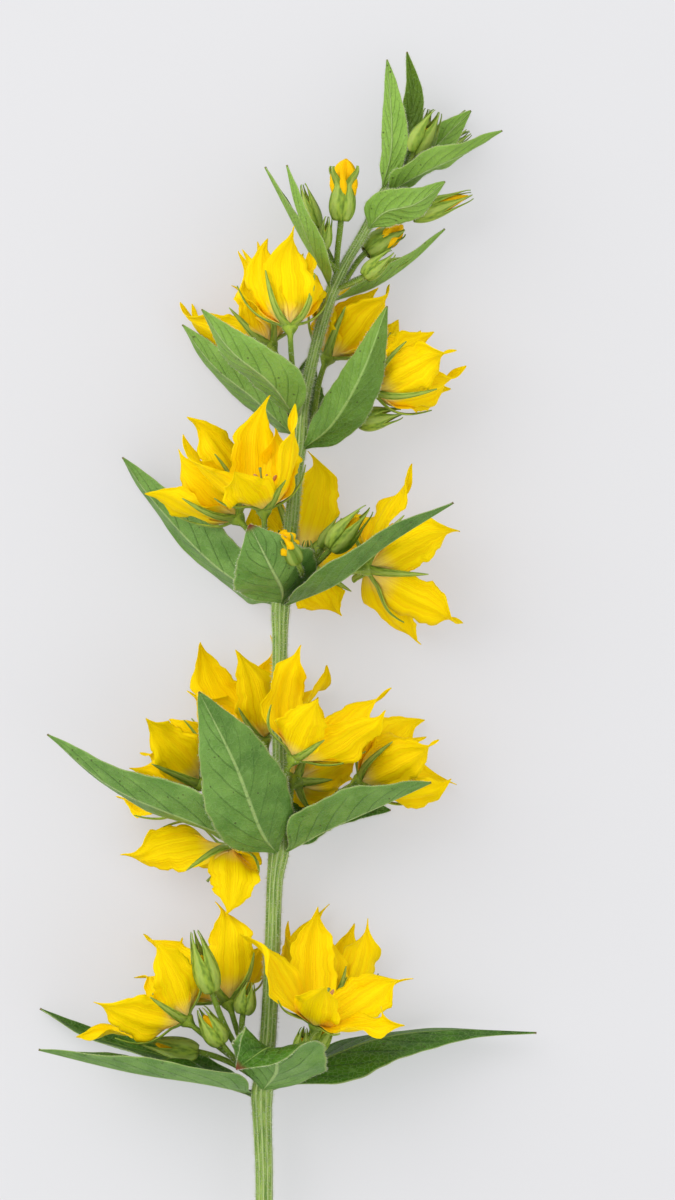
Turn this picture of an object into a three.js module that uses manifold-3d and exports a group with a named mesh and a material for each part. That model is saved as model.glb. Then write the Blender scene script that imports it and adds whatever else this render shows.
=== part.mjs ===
// A cut flowering stem of yellow loosestrife, lying on a flat surface.
// Millimetres. +X is to the right and +Y runs up the stem, as the plant is seen from above; +Z is up.
import * as THREE from "three";
import { mergeVertices } from "three/addons/utils/BufferGeometryUtils.js";
import Module from "manifold-3d";

const wasm = await Module();
wasm.setup();

// Driving dimensions
const PIXEL = 0.18; // millimetres of plant for one pixel of the photograph, from a petal 18.5 mm long
const STEM_X = 275; // photograph pixel column of the stem's middle, x = 0
const FOOT_Y = 1200; // photograph pixel row of the picture's lower edge, y = 0
const GAP = 0.35; // clearance between neighbouring pieces
const PETAL_THICK = 0.5;
const PETAL_LENGTH = 18.5;
const PETAL_WIDTH = 8.6;
const PETAL_OPENING = THREE.MathUtils.degToRad(33); // between a petal and the flower's axis
const JOINED = 0.2; // share of a petal's length that is joined to its neighbours
const LEAF_THICK = 0.5;
const SEPAL_LENGTH = 11;
const SEPAL_LONGEST = 0.8; // as a share of its petals, where those are short
const SEPAL_WIDTH = 1.7;
const SEPAL_KEEL = 0.45;
const SEPAL_CLEARANCE = 0.75; // from the petals' backs to the sepal's middle
const STALK_RADIUS = 0.55;
const LUMP_RADIUS = 0.9; // the swelling where the stalks of one axil meet
const CUP_RADIUS = 1.5; // the calyx cup under a corolla
const CUP_DEPTH = 1.9;
const STEM_SIDES = 8;
const UP = new THREE.Vector3(0, 0, 1);
const STALK_SIDES = 5;
const FLOOR = 0.35; // lowest that the middle of a thin blade may lie
const FLOOR_SOFTNESS = 0.5;
const SEPAL_ROOM = 2.2; // height kept under a lying corolla's foot for the sepals below it

// Colours as seen in the photograph
const STEM_GREEN = 0x93b368;
const LEAF_GREEN = 0x5f8f45;
const CALYX_GREEN = 0x7da34c;
const PETAL_YELLOW = 0xf9d50a;

// The stem's centreline from the cut end to the tip: photograph column and row, height, radius
const STEM = [
  [264, 1234, 8.6, 1.6],
  [264, 1170, 9.0, 1.6],
  [262, 1112, 9.3, 1.8],
  [262, 1094, 9.4, 2.0],
  [265, 1066, 9.5, 1.55],
  [268, 1036, 9.6, 1.5],
  [272, 960, 10.2, 1.45],
  [275, 880, 10.8, 1.5],
  [279, 849, 11.0, 1.9],
  [280, 820, 11.2, 1.5],
  [280, 720, 11.6, 1.4],
  [280, 640, 11.9, 1.4],
  [281, 602, 12.0, 1.7],
  [285, 575, 12.1, 1.3],
  [291, 528, 12.1, 1.25],
  [297, 462, 12.0, 1.3],
  [300, 440, 12.0, 1.45],
  [302, 412, 11.9, 1.25],
  [306, 389, 11.8, 1.1],
  [326, 309, 11.0, 1.1],
  [334, 287, 10.8, 1.25],
  [347, 261, 10.5, 0.9],
  [367, 227, 10.1, 0.95],
  [386, 188, 9.8, 0.8],
  [402, 168, 9.8, 0.45],
];

// Leaves. at and azimuth say where each joins the stem: the row, and the angle round the stem
// (0 right, 90 up off the surface, 180 left). via and tip are points of the midrib. facing is where
// the upper side looks, at the base and at the tip, seen along the leaf: 0 to its right, 90 up off
// the surface, 180 to its left. fold lifts each half of the blade towards the upper side.
const LEAVES = [
  {
    name: "leaf_1_left_front", at: 1094, azimuth: 176, width: 14.5, fold: 27, facing: [0, 0],
    via: [[205, 1082, 16.5], [134, 1071, 17.5]], tip: [39, 1049, 15],
  },
  {
    name: "leaf_1_left_back", at: 1098, azimuth: 218, width: 13, fold: 12, facing: [15, 15],
    via: [[180, 1064, 2], [92, 1039, 1.5]], tip: [39, 1010, 1],
  },
  {
    name: "leaf_1_front", at: 1090, azimuth: 86, width: 18, fold: 20, facing: [-90, -90],
    via: [[277, 1068, 20], [270, 1046, 28]], tip: [237, 1066, 33], across: [1, -0.2, 0],
  },
  {
    name: "leaf_1_right", at: 1088, azimuth: -15, width: 15, fold: -15, facing: [150, 165],
    via: [[318, 1064, 8], [381, 1040, 6], [450, 1032, 5]], tip: [537, 1034, 4],
  },
  {
    name: "leaf_2_left", at: 852, azimuth: 140, width: 15, fold: 20, facing: [-29, -25],
    via: [[196, 822, 18.5], [113, 786, 20]], tip: [48, 734, 18],
  },
  {
    name: "leaf_2_front", at: 852, azimuth: 100, width: 15.5, fold: 10, facing: [-90, -90],
    via: [[262, 832, 20], [235, 762, 28]], tip: [200, 691, 33],
  },
  {
    name: "leaf_2_right", at: 850, azimuth: 40, width: 15, fold: 25, facing: [195, 195],
    via: [[325, 833, 15], [385, 807, 17]], tip: [431, 782, 17],
  },
  {
    name: "leaf_2_back_right", at: 846, azimuth: -50, width: 8, fold: 10, facing: [110, 100],
    via: [[318, 812, 2.5], [352, 808, 1]], tip: [391, 811, 1],
  },
  {
    name: "leaf_3_left", at: 604, azimuth: 195, width: 14, fold: 21, facing: [-34, -34],
    via: [[212, 562, 6.5], [151, 497, 5.5]], tip: [122, 457, 6],
  },
  {
    name: "leaf_3_front", at: 602, azimuth: 95, width: 13, fold: 15, facing: [-90, -90],
    via: [[277, 586, 19], [264, 566, 26]], tip: [250, 525, 32],
  },
  {
    name: "leaf_3_right", at: 605, azimuth: 60, width: 13, fold: 25, facing: [187, 187],
    via: [[338, 582, 21], [386, 545, 24]], tip: [453, 503, 24],
  },
  {
    name: "leaf_4_left_upper", at: 418, azimuth: 140, width: 11.5, fold: 19, facing: [-41, -41],
    via: [[271, 383, 18], [232, 351, 19]], tip: [202, 310, 18],
  },
  {
    name: "leaf_4_left_lower", at: 434, azimuth: 205, width: 11, fold: 18, facing: [-35, -35],
    via: [[252, 396, 7.5], [215, 366, 6]], tip: [182, 324, 5],
  },
  {
    name: "leaf_4_right", at: 448, azimuth: 40, width: 10.5, fold: 40, facing: [-85, -85],
    via: [[332, 425, 17.5], [362, 374, 22]], tip: [387, 307, 22],
  },
  {
    name: "leaf_4_back", at: 440, azimuth: 290, width: 7, fold: 8, facing: [90, 90],
    via: [[306, 405, 5], [306, 380, 3]], tip: [312, 352, 2],
  },
  {
    name: "leaf_5_left_back", at: 284, azimuth: 215, width: 7.5, fold: 20, facing: [0, 0],
    via: [[306, 244, 6], [284, 203, 5]], tip: [265, 166, 5],
  },
  {
    name: "leaf_5_left_front", at: 288, azimuth: 130, width: 7.5, fold: 25, facing: [-10, -10],
    via: [[314, 251, 16], [296, 205, 18]], tip: [287, 166, 18],
  },
  {
    name: "leaf_5_right", at: 298, azimuth: -30, width: 7.5, fold: 25, facing: [187, 187],
    via: [[375, 285, 6.5], [413, 259, 5]], tip: [445, 228, 4],
  },
  {
    name: "leaf_6_right", at: 228, azimuth: 60, width: 7.5, fold: 12, facing: [250, 230],
    via: [[385, 212, 14], [415, 204, 15]], tip: [445, 182, 15],
  },
  {
    name: "leaf_7_left", at: 190, azimuth: 140, width: 5.6, fold: 15, facing: [-55, -55],
    via: [[392, 150, 13], [391, 100, 14]], tip: [387, 60, 14],
  },
  {
    name: "leaf_7_back", at: 180, azimuth: 235, width: 4.6, fold: 25, facing: [90, 90],
    via: [[407, 134, 6.5], [414, 92, 6]], tip: [407, 51, 7],
  },
  {
    name: "leaf_7_middle", at: 172, azimuth: -60, width: 5, fold: 0, facing: [200, 200],
    via: [[430, 156, 5.5], [453, 131, 6]], tip: [471, 110, 7],
  },
  {
    name: "leaf_7_right", at: 192, azimuth: 40, width: 8, fold: 20, facing: [215, 200],
    via: [[426, 171, 15], [465, 153, 16]], tip: [502, 131, 14],
  },
];

// Flower stalks: where each cluster leaves the stem
const AXILS = {
  axil_1_left: { at: 1080, azimuth: 170 },
  axil_1_right: { at: 1074, azimuth: 10 },
  axil_2_left: { at: 838, azimuth: 185 },
  axil_2_front: { at: 834, azimuth: 85 },
  axil_2_right: { at: 838, azimuth: 0 },
  axil_3_left: { at: 590, azimuth: 155 },
  axil_3_back: { at: 588, azimuth: 280 },
  axil_3_right: { at: 586, azimuth: 0 },
  axil_4_left: { at: 402, azimuth: 150 },
  axil_4_right: { at: 436, azimuth: -10 },
  axil_5_left: { at: 275, azimuth: 150 },
  axil_5_right: { at: 288, azimuth: 30 },
  axil_6_right: { at: 218, azimuth: 0 },
  axil_7_right: { at: 174, azimuth: 60 },
};

// Open flowers: the foot of the corolla, the direction it opens in, and its five petal tips in
// order round that direction. null is a petal that the photograph hides, and it takes the place
// that is left for it. flat says for each petal how far its blade rolls towards level: at 0 it
// keeps its edge to the direction it opens in, and at 1 it lies flat.
const FLOWERS = [
  {
    name: "1_left", axil: "axil_1_left", foot: [186, 1019, 15], axis: [-0.73, 0.68, 0],
    tips: [[79, 1025, 11], [98, 997, 24], [156, 940, 25], [168, 950, 15], [143, 966, 5]],
    flat: [0, 0.7, 0.5, 0.3, 0.5],
  },
  {
    name: "1_middle", axil: "axil_1_left", foot: [229, 1003, 9], axis: [-0.24, 0.87, -0.3],
    tips: [[226, 898, 13], [262, 942, 5], null, null, [153, 926, 4]],
    flat: [0.7, 0.3, 0, 0, 0.7],
  },
  {
    name: "1_right_front", axil: "axil_1_right", foot: [316, 1023, 18], axis: [0.37, 0.85, 0.38],
    tips: [[258, 926, 22], [325, 980, 34], [400, 1013, 28], [401, 966, 15], [318, 906, 13]],
    flat: [0.3, 0.6, 0.2, 0.6, 0.6],
  },
  {
    name: "1_right_back", axil: "axil_1_right", foot: [322, 1014, 8], axis: [0.05, 1, -0.15],
    tips: [[283, 922, 6], [328, 930, 11], [366, 919, 7], [345, 925, 2], [311, 901, 2]],
    flat: [0.3, 0.5, 0.7, 0.3, 0.7],
  },
  {
    name: "2_left", axil: "axil_2_left", foot: [199, 784, 9], axis: [-0.86, 0.5, -0.13],
    tips: [[172, 715, 8], [143, 746, 2], [114, 800, 3], [135, 760, 12], [143, 722, 17]],
    flat: [0.6, 0.5, 0.5, 0.6, 0.5],
  },
  {
    name: "2_low", axil: "axil_2_left", foot: [232, 848, 7], axis: [-0.5, -0.8, 0.1],
    tips: [[126, 862, 9], [160, 860, 1], [236, 885, 2], [262, 864, 9], [229, 908, 15]],
    flat: [0.8, 0.5, 0.5, 0.3, 0.8],
  },
  {
    name: "2_upper_left", axil: "axil_2_left", foot: [264, 738, 5], axis: [-0.23, 0.94, 0.15],
    tips: [[194, 641, 4], [191, 688, 10], [246, 647, 12], [331, 668, 3], [271, 636, 3]],
    flat: [0.9, 0.6, 0.3, 0.1, 0.4],
  },
  {
    name: "2_front", axil: "axil_2_front", foot: [294, 757, 20], axis: [0.57, 0.82, 0.06],
    tips: [[299, 643, 20], [316, 700, 34], [384, 706, 27], [381, 680, 18], [321, 697, 9]],
    flat: [0.6, 0.7, 0.3, 0.5, 0.5],
  },
  {
    name: "2_under", axil: "axil_2_right", foot: [304, 782, 10.5], axis: [0.5, 0.25, -0.83],
    tips: [[362, 753, 4], [352, 779, 3], [326, 792, 2.5], [302, 770, 2], [332, 736, 3]],
    flat: [0.7, 0.5, 0.5, 0.5, 0.4],
  },
  {
    name: "2_right", axil: "axil_2_right", foot: [360, 781, 10], axis: [0.9, 0.44, 0],
    tips: [[424, 717, 4], null, [440, 742, 18], [453, 783, 13], null],
    flat: [0.3, 0.3, 0.6, 0.3, 0.3],
  },
  {
    name: "3_left_front", axil: "axil_3_left", foot: [264, 510, 21], axis: [-0.03, 1, 0.07],
    tips: [[179, 438, 23], [236, 474, 36], [292, 405, 24], [281, 428, 16], [255, 394, 17]],
    flat: [0, 0.2, 0, 0.3, 0.7],
  },
  {
    name: "3_left_back", axil: "axil_3_left", foot: [237, 518, 12.6], axis: [-0.7, 0.65, -0.2],
    tips: [[151, 485, 17], [172, 455, 16.5], [190, 417, 12], [226, 440, 8], [180, 476, 10]],
    flat: [0, 0.3, 0.4, 0.4, 0.4],
  },
  {
    name: "3_behind", axil: "axil_3_back", foot: [300, 560, 6], axis: [0.1, 0.1, -1],
    tips: [[327, 455, 4], [372, 540, 3], [336, 618, 3], [258, 590, 3], [252, 500, 3]],
    flat: [0.6, 0.6, 0.6, 0.6, 0.6],
  },
  {
    name: "3_right", axil: "axil_3_right", foot: [367, 568, 13], axis: [0.87, 0.29, -0.4],
    tips: [[414, 475, 9], [458, 520, 16], [467, 618, 12], [416, 644, 4], [375, 513, 3]],
    flat: [0.1, 0.7, 0.6, 0.5, 0.4],
  },
  {
    name: "4_left_front", axil: "axil_4_left", foot: [290, 327, 19], axis: [-0.04, 0.98, -0.15],
    tips: [[284, 224, 23], null, [308, 251, 13], null, [259, 241, 18]],
    flat: [0.6, 0.2, 0.4, 0.2, 0.4],
  },
  {
    name: "4_left_back", axil: "axil_4_left", foot: [270, 345, 7], axis: [-0.58, 0.8, -0.3],
    tips: [[174, 306, 5], null, [249, 248, 8], null, null],
    flat: [0.4, 0.3, 0.8, 0.3, 0.3],
  },
  {
    name: "4_right_back", axil: "axil_4_right", foot: [328, 357, 5], axis: [0.46, 0.88, -0.1],
    tips: [[346, 272, 2], [326, 284, 7], [388, 281, 10], [400, 318, 3], [368, 282, 1]],
    flat: [0.1, 0.1, 0.5, 0.2, 0.1],
  },
  {
    name: "4_right_front", axil: "axil_4_right", foot: [372, 391, 14], axis: [0.85, 0.46, -0.26],
    tips: [[421, 338, 4], null, [454, 346, 19], [467, 372, 12], null],
    flat: [0.4, 0.3, 0.6, 0.3, 0.3],
  },
];

// Buds and spent calyces: foot and tip, and the widest radius
const BUDS = [
  { axil: "axil_1_left", foot: [212, 990, 19], tip: [195, 930, 22], radius: 2.3 },
  { axil: "axil_1_left", foot: [222, 1043, 16], tip: [200, 1008, 17], radius: 2.2 },
  { axil: "axil_1_left", foot: [198, 1052, 9], tip: [142, 1042, 9], radius: 2.0 },
  { axil: "axil_1_left", foot: [243, 1014, 13], tip: [250, 982, 13], radius: 1.9 },
  { axil: "axil_1_right", foot: [312, 1050, 12], tip: [333, 1022, 11], radius: 1.9 },
  { axil: "axil_1_right", foot: [300, 1052, 16], tip: [304, 1027, 18], radius: 1.4 },
  { axil: "axil_3_right", foot: [331, 549, 18], tip: [368, 508, 20], radius: 2.4 },
  { axil: "axil_3_right", foot: [322, 549, 14], tip: [341, 518, 14], radius: 1.5 },
  { axil: "axil_3_right", foot: [308, 572, 16], tip: [308, 541, 17], radius: 1.7 },
  { axil: "axil_4_right", foot: [358, 422, 11], tip: [402, 413, 10], radius: 2.0 },
  { axil: "axil_5_left", foot: [341, 221, 13], tip: [346, 160, 13], radius: 2.3 },
  { axil: "axil_5_left", foot: [317, 228, 10], tip: [303, 184, 9], radius: 1.5 },
  { axil: "axil_5_left", foot: [322, 250, 14], tip: [328, 217, 14], radius: 1.4 },
  { axil: "axil_5_right", foot: [366, 252, 7], tip: [404, 224, 5], radius: 2.2 },
  { axil: "axil_5_right", foot: [364, 277, 13], tip: [393, 252, 13], radius: 1.6 },
  { axil: "axil_6_right", foot: [412, 216, 10], tip: [472, 194, 9], radius: 1.9 },
  { axil: "axil_7_right", foot: [414, 153, 13], tip: [438, 112, 13], radius: 2.0 },
  { axil: "axil_7_right", foot: [432, 150, 11], tip: [466, 128, 11], radius: 1.5 },
];

const photo = ([column, row, height]) =>
  new THREE.Vector3((column - STEM_X) * PIXEL, (FOOT_Y - row) * PIXEL, height);

// The surface that the plant lies on presses up whatever would hang below it, smoothly.
function rested(point, lowest = FLOOR) {
  const above = point.z - lowest;
  point.z = lowest + (above + Math.hypot(above, 2 * FLOOR_SOFTNESS)) / 2;
  return point;
}

// Numbers between the entries of a list, by share of its length
function along(values, share) {
  const place = Math.min(Math.max(share, 0), 1) * (values.length - 1);
  const i = Math.min(Math.floor(place), values.length - 2);
  return values[i] + (values[i + 1] - values[i]) * (place - i);
}

function solid(vertices, triangles) {
  const positions = new Float32Array(vertices.flatMap((v) => [v.x, v.y, v.z]));
  const geometry = new THREE.BufferGeometry();
  geometry.setAttribute("position", new THREE.BufferAttribute(positions, 3));
  geometry.setIndex(triangles.flat());
  return geometry;
}

function toManifold(geometry) {
  const bare = geometry.clone().deleteAttribute("normal").deleteAttribute("uv");
  const merged = mergeVertices(bare, 1e-4);
  return new wasm.Manifold(
    new wasm.Mesh({
      numProp: 3,
      vertProperties: merged.attributes.position.array,
      triVerts: new Uint32Array(merged.index.array),
    }),
  );
}

function fromManifold(made) {
  const mesh = made.getMesh();
  const geometry = new THREE.BufferGeometry();
  geometry.setAttribute("position", new THREE.BufferAttribute(mesh.vertProperties, 3));
  geometry.setIndex(new THREE.BufferAttribute(mesh.triVerts, 1));
  return geometry;
}

// A closed tube through rings of points: each ring is a list of the same length.
function skin(rings) {
  const n = rings[0].length;
  const vertices = rings.flat();
  const triangles = [];
  for (let r = 0; r + 1 < rings.length; r++) {
    for (let k = 0; k < n; k++) {
      const a = r * n + k;
      const b = r * n + ((k + 1) % n);
      triangles.push([a, b, b + n], [a, b + n, a + n]);
    }
  }
  const last = (rings.length - 1) * n;
  for (let k = 1; k + 1 < n; k++) {
    triangles.push([0, k + 1, k], [last, last + k, last + k + 1]);
  }
  return solid(vertices, triangles);
}

// A round tube along a curve, through stations that give a share of its length and a radius
function tube(curve, stations, sides) {
  let normal = new THREE.Vector3(0.36, 0.48, 0.8);
  const rings = stations.map(([share, radius]) => {
    const centre = curve.getPointAt(share);
    const tangent = curve.getTangentAt(share);
    normal = normal.clone().addScaledVector(tangent, -normal.dot(tangent)).normalize();
    const binormal = new THREE.Vector3().crossVectors(tangent, normal);
    return Array.from({ length: sides }, (_, k) => {
      const turn = (k / sides) * 2 * Math.PI;
      return centre
        .clone()
        .addScaledVector(normal, radius * Math.cos(turn))
        .addScaledVector(binormal, radius * Math.sin(turn));
    });
  });
  return skin(rings);
}

// Where the stem is at a row of the photograph: centre, direction and radius
const stemCurve = new THREE.CatmullRomCurve3(STEM.map(photo), false, "centripetal");
function stemAt(row) {
  const y = (FOOT_Y - row) * PIXEL;
  let low = 0;
  let high = 1;
  for (let i = 0; i < 30; i++) {
    const middle = (low + high) / 2;
    if (stemCurve.getPoint(middle).y < y) low = middle;
    else high = middle;
  }
  const radii = STEM.map((point) => point[3]);
  return {
    centre: stemCurve.getPoint(low),
    direction: stemCurve.getTangent(low),
    radius: along(radii, low),
  };
}

// The direction that leaves the stem at an azimuth, square to it
function outward(direction, azimuth) {
  const turn = THREE.MathUtils.degToRad(azimuth);
  const radial = new THREE.Vector3(Math.cos(turn), 0, Math.sin(turn));
  return radial.addScaledVector(direction, -radial.dot(direction)).normalize();
}

function stemGeometry() {
  const steps = STEM.length - 1;
  const rings = STEM.map((point, i) => {
    const centre = stemCurve.getPoint(i / steps);
    const direction = stemCurve.getTangent(i / steps);
    const side = outward(direction, 0);
    const front = new THREE.Vector3().crossVectors(side, direction);
    return Array.from({ length: STEM_SIDES }, (_, k) => {
      const turn = ((k + 0.5) / STEM_SIDES) * 2 * Math.PI;
      return centre
        .clone()
        .addScaledVector(side, point[3] * Math.cos(turn))
        .addScaledVector(front, -point[3] * Math.sin(turn));
    });
  });
  return skin(rings);
}

// A sheet of triangles made into a thin closed shell. Each point moves half the thickness to both
// sides, along the mean direction that its own triangles face, and walls join the open edges.
function thicken(points, faces, edges, thickness) {
  const normals = points.map(() => new THREE.Vector3());
  faces.forEach((face) => {
    const [a, b, c] = face.map((i) => points[i]);
    const facing = b.clone().sub(a).cross(c.clone().sub(a));
    face.forEach((i) => normals[i].add(facing));
  });
  normals.forEach((normal) => normal.setLength(thickness / 2));
  const vertices = [
    ...points.map((point, i) => point.clone().add(normals[i])),
    ...points.map((point, i) => point.clone().sub(normals[i])),
  ];
  const count = points.length;
  const triangles = [];
  faces.forEach(([a, b, c]) => {
    triangles.push([a, b, c], [a + count, c + count, b + count]);
  });
  edges.forEach(([a, b]) => {
    triangles.push([a, b + count, b], [a, a + count, b + count]);
  });
  return solid(vertices, triangles);
}

// A thin closed blade over rows of middle points
function blade(rows, thickness) {
  const n = rows[0].length;
  const faces = [];
  const edges = [];
  for (let r = 0; r + 1 < rows.length; r++) {
    for (let k = 0; k + 1 < n; k++) {
      const a = r * n + k;
      faces.push([a, a + n, a + n + 1], [a, a + n + 1, a + 1]);
    }
    edges.push([r * n, r * n + n], [r * n + 2 * n - 1, r * n + n - 1]);
  }
  const last = (rows.length - 1) * n;
  for (let k = 0; k + 1 < n; k++) {
    edges.push([k + 1, k], [last + k, last + k + 1]);
  }
  return thicken(rows.flat(), faces, edges, thickness);
}

// An ovate leaf's half width along its length, from 0 at the base to 1 at the tip
const leafOutline = (s) => Math.sin(Math.PI * s ** 0.76) ** 0.95 + 0.1 * (1 - s) ** 4;

function leafGeometry(leaf) {
  const joint = stemAt(leaf.at);
  const radial = outward(joint.direction, leaf.azimuth);
  const base = joint.centre.clone().addScaledVector(radial, joint.radius + GAP);
  const midrib = new THREE.CatmullRomCurve3(
    [base, ...leaf.via.map(photo), photo(leaf.tip)],
    false,
    "centripetal",
  );
  const growth = photo(leaf.tip).sub(base);
  const right = leaf.across
    ? new THREE.Vector3(...leaf.across)
    : new THREE.Vector3(growth.y, -growth.x, 0).normalize();
  const stations = [0, 0.12, 0.3, 0.5, 0.7, 0.88, 1];
  const fold = THREE.MathUtils.degToRad(leaf.fold);
  const rows = stations.map((s) => {
    const centre = midrib.getPointAt(s);
    const tangent = midrib.getTangentAt(s);
    const facing = THREE.MathUtils.degToRad(along(leaf.facing, s));
    const level = right.clone().addScaledVector(tangent, -right.dot(tangent)).normalize();
    const raised = new THREE.Vector3().crossVectors(level, tangent);
    const upper = level
      .clone()
      .multiplyScalar(Math.cos(facing))
      .addScaledVector(raised, Math.sin(facing));
    const side = new THREE.Vector3().crossVectors(upper, tangent);
    const half = (leaf.width / 2) * leafOutline(s) + 0.25;
    const opening = fold * Math.min(1, s * 5);
    return [-1, 0, 1].map((v) =>
      rested(
        centre
          .clone()
          .addScaledVector(side, v * half * Math.cos(opening))
          .addScaledVector(upper, Math.abs(v) * half * Math.sin(opening)),
      ),
    );
  });
  return blade(rows, LEAF_THICK);
}

// A flower's axis and its petals. They leave the foot a fifth of a turn apart, as near as they can
// to the tips that are given, and each then bends to its own tip.
function petalsOf(flower) {
  const foot = photo(flower.foot);
  const axis = new THREE.Vector3(...flower.axis).normalize();
  const start = new THREE.Vector3(1, 0, 0).cross(axis).normalize();
  const quarter = new THREE.Vector3().crossVectors(axis, start);
  const fifth = (2 * Math.PI) / flower.tips.length;
  let east = 0;
  let north = 0;
  flower.tips.forEach((tip, i) => {
    if (!tip) return;
    const reach = photo(tip).sub(foot);
    const turn = Math.atan2(reach.dot(quarter), reach.dot(start)) - i * fifth;
    east += Math.cos(turn);
    north += Math.sin(turn);
  });
  const offset = Math.atan2(north, east);
  const petals = flower.tips.map((given, i) => {
    const turn = offset + i * fifth;
    const radial = start
      .clone()
      .multiplyScalar(Math.cos(turn))
      .addScaledVector(quarter, Math.sin(turn));
    const tip = given
      ? photo(given)
      : foot
          .clone()
          .addScaledVector(axis, PETAL_LENGTH * Math.cos(PETAL_OPENING))
          .addScaledVector(radial, PETAL_LENGTH * Math.sin(PETAL_OPENING));
    const reach = tip.clone().sub(foot);
    const length = reach.length();
    const lean = reach.clone().addScaledVector(axis, -reach.dot(axis)).normalize();
    const line = new THREE.CubicBezierCurve3(
      foot.clone(),
      foot.clone().addScaledVector(radial, 0.3 * length).addScaledVector(axis, 0.06 * length),
      foot.clone().addScaledVector(reach, 0.66).addScaledVector(lean, 0.14 * length),
      tip,
    );
    const upright = new THREE.Vector3().crossVectors(UP, line.getTangent(0.5));
    const aside = new THREE.Vector3().crossVectors(axis, radial.clone().add(lean));
    return { line, radial, lean, flat: flower.flat[i], handed: Math.sign(upright.dot(aside)) || 1 };
  });
  return { foot, axis, petals };
}

// A petal's half width from the corolla's foot to the tip, as a share of the widest
const petalOutline = (s) => Math.sin(Math.PI * s ** 0.82) ** 0.85 + 0.04;

function petalPoint(axis, petal, s, v) {
  const tangent = petal.line.getTangent(s);
  const outwards = petal.radial.clone().lerp(petal.lean, s);
  const across = new THREE.Vector3().crossVectors(axis, outwards).normalize();
  const level = new THREE.Vector3().crossVectors(UP, tangent).setLength(petal.handed);
  across.lerp(level, petal.flat * THREE.MathUtils.smoothstep(s, 0.05, 0.5)).normalize();
  const normal = new THREE.Vector3().crossVectors(across, tangent).normalize();
  const half = (PETAL_WIDTH / 2) * petalOutline(s);
  const cupping = 0.34 * (1 - 0.6 * s) * half * v * v;
  const point = petal.line
    .getPoint(s)
    .addScaledVector(across, half * v)
    .addScaledVector(normal, -cupping);
  return rested(point, FLOOR + SEPAL_ROOM * (1 - s));
}

// Five petals joined in a shallow bowl: a star-shaped shell, closed round its whole edge
function corollaGeometry(flower) {
  const { foot, axis, petals } = petalsOf(flower);
  const free = [0.46, 0.78];
  const shell = [rested(foot.clone())];
  const ringStart = 1;
  petals.forEach((petal, i) => {
    const next = petals[(i + 1) % petals.length];
    const right = petalPoint(axis, petal, JOINED, 1);
    const left = petalPoint(axis, next, JOINED, -1);
    shell.push(petalPoint(axis, petal, JOINED, 0));
    shell.push(right.add(left).multiplyScalar(0.5));
  });
  const ringCount = 2 * petals.length;
  const faces = [];
  const edges = [];
  for (let k = 0; k < ringCount; k++) {
    faces.push([0, ringStart + ((k + 1) % ringCount), ringStart + k]);
  }
  petals.forEach((petal, i) => {
    let row = [
      ringStart + ((2 * i + ringCount - 1) % ringCount),
      ringStart + 2 * i,
      ringStart + 2 * i + 1,
    ];
    free.forEach((s) => {
      const start = shell.length;
      [-1, 0, 1].forEach((v) => shell.push(petalPoint(axis, petal, s, v)));
      const next = [start, start + 1, start + 2];
      for (let k = 0; k < 2; k++) {
        faces.push([row[k], next[k + 1], next[k]], [row[k], row[k + 1], next[k + 1]]);
      }
      edges.push([next[0], row[0]], [row[2], next[2]]);
      row = next;
    });
    faces.push([row[0], row[1], shell.length], [row[1], row[2], shell.length]);
    edges.push([shell.length, row[0]], [row[2], shell.length]);
    shell.push(petalPoint(axis, petal, 1, 0));
  });
  return thicken(shell, faces, edges, PETAL_THICK);
}

// Where the stalks of one axil leave the stem
function axilStart(name) {
  const { at, azimuth } = AXILS[name];
  const joint = stemAt(at);
  const radial = outward(joint.direction, azimuth);
  return {
    point: joint.centre.clone().addScaledVector(radial, joint.radius + GAP + LUMP_RADIUS),
    leaving: joint.direction.clone().add(radial).normalize(),
  };
}

// A smooth curve from the axil to an end point, arriving along an axis
function stalkCurve({ point, leaving }, end, axis) {
  const span = point.distanceTo(end);
  const towards = end.clone().sub(point).normalize().add(leaving).normalize();
  return new THREE.CubicBezierCurve3(
    point,
    point.clone().addScaledVector(towards, 0.3 * span),
    end.clone().addScaledVector(axis, -0.4 * span),
    end,
  );
}

// A keeled sepal under the gap between two petals, at a share s of its length: its two edges
// and its keel
function sepalSection(first, second, foot, axis, s) {
  const between = first.radial.clone().add(second.radial).normalize();
  const across = new THREE.Vector3().crossVectors(axis, between);
  const petalLength = (first.line.getLength() + second.line.getLength()) / 2;
  const share = s * Math.min(SEPAL_LENGTH / petalLength, SEPAL_LONGEST);
  const a = first.line.getPoint(share).sub(foot);
  const b = second.line.getPoint(share).sub(foot);
  const tangents = first.line.getTangent(share).add(second.line.getTangent(share));
  const back = new THREE.Vector3().crossVectors(across, tangents).normalize();
  const centre = foot
    .clone()
    .addScaledVector(axis, (a.dot(axis) + b.dot(axis)) / 2)
    .addScaledVector(between, (a.dot(first.radial) + b.dot(second.radial)) / 2);
  const edges = [petalPoint(axis, first, share, 1), petalPoint(axis, second, share, -1)];
  const outermost = Math.max(centre.dot(back), ...edges.map((edge) => edge.dot(back)));
  const lift = outermost - centre.dot(back) + PETAL_THICK / 2 + SEPAL_CLEARANCE;
  rested(centre.addScaledVector(back, lift), FLOOR + SEPAL_KEEL);
  return [
    centre.clone().addScaledVector(across, -SEPAL_WIDTH / 2),
    centre.clone().addScaledVector(back, SEPAL_KEEL),
    centre.clone().addScaledVector(across, SEPAL_WIDTH / 2),
    centre,
  ];
}

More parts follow.
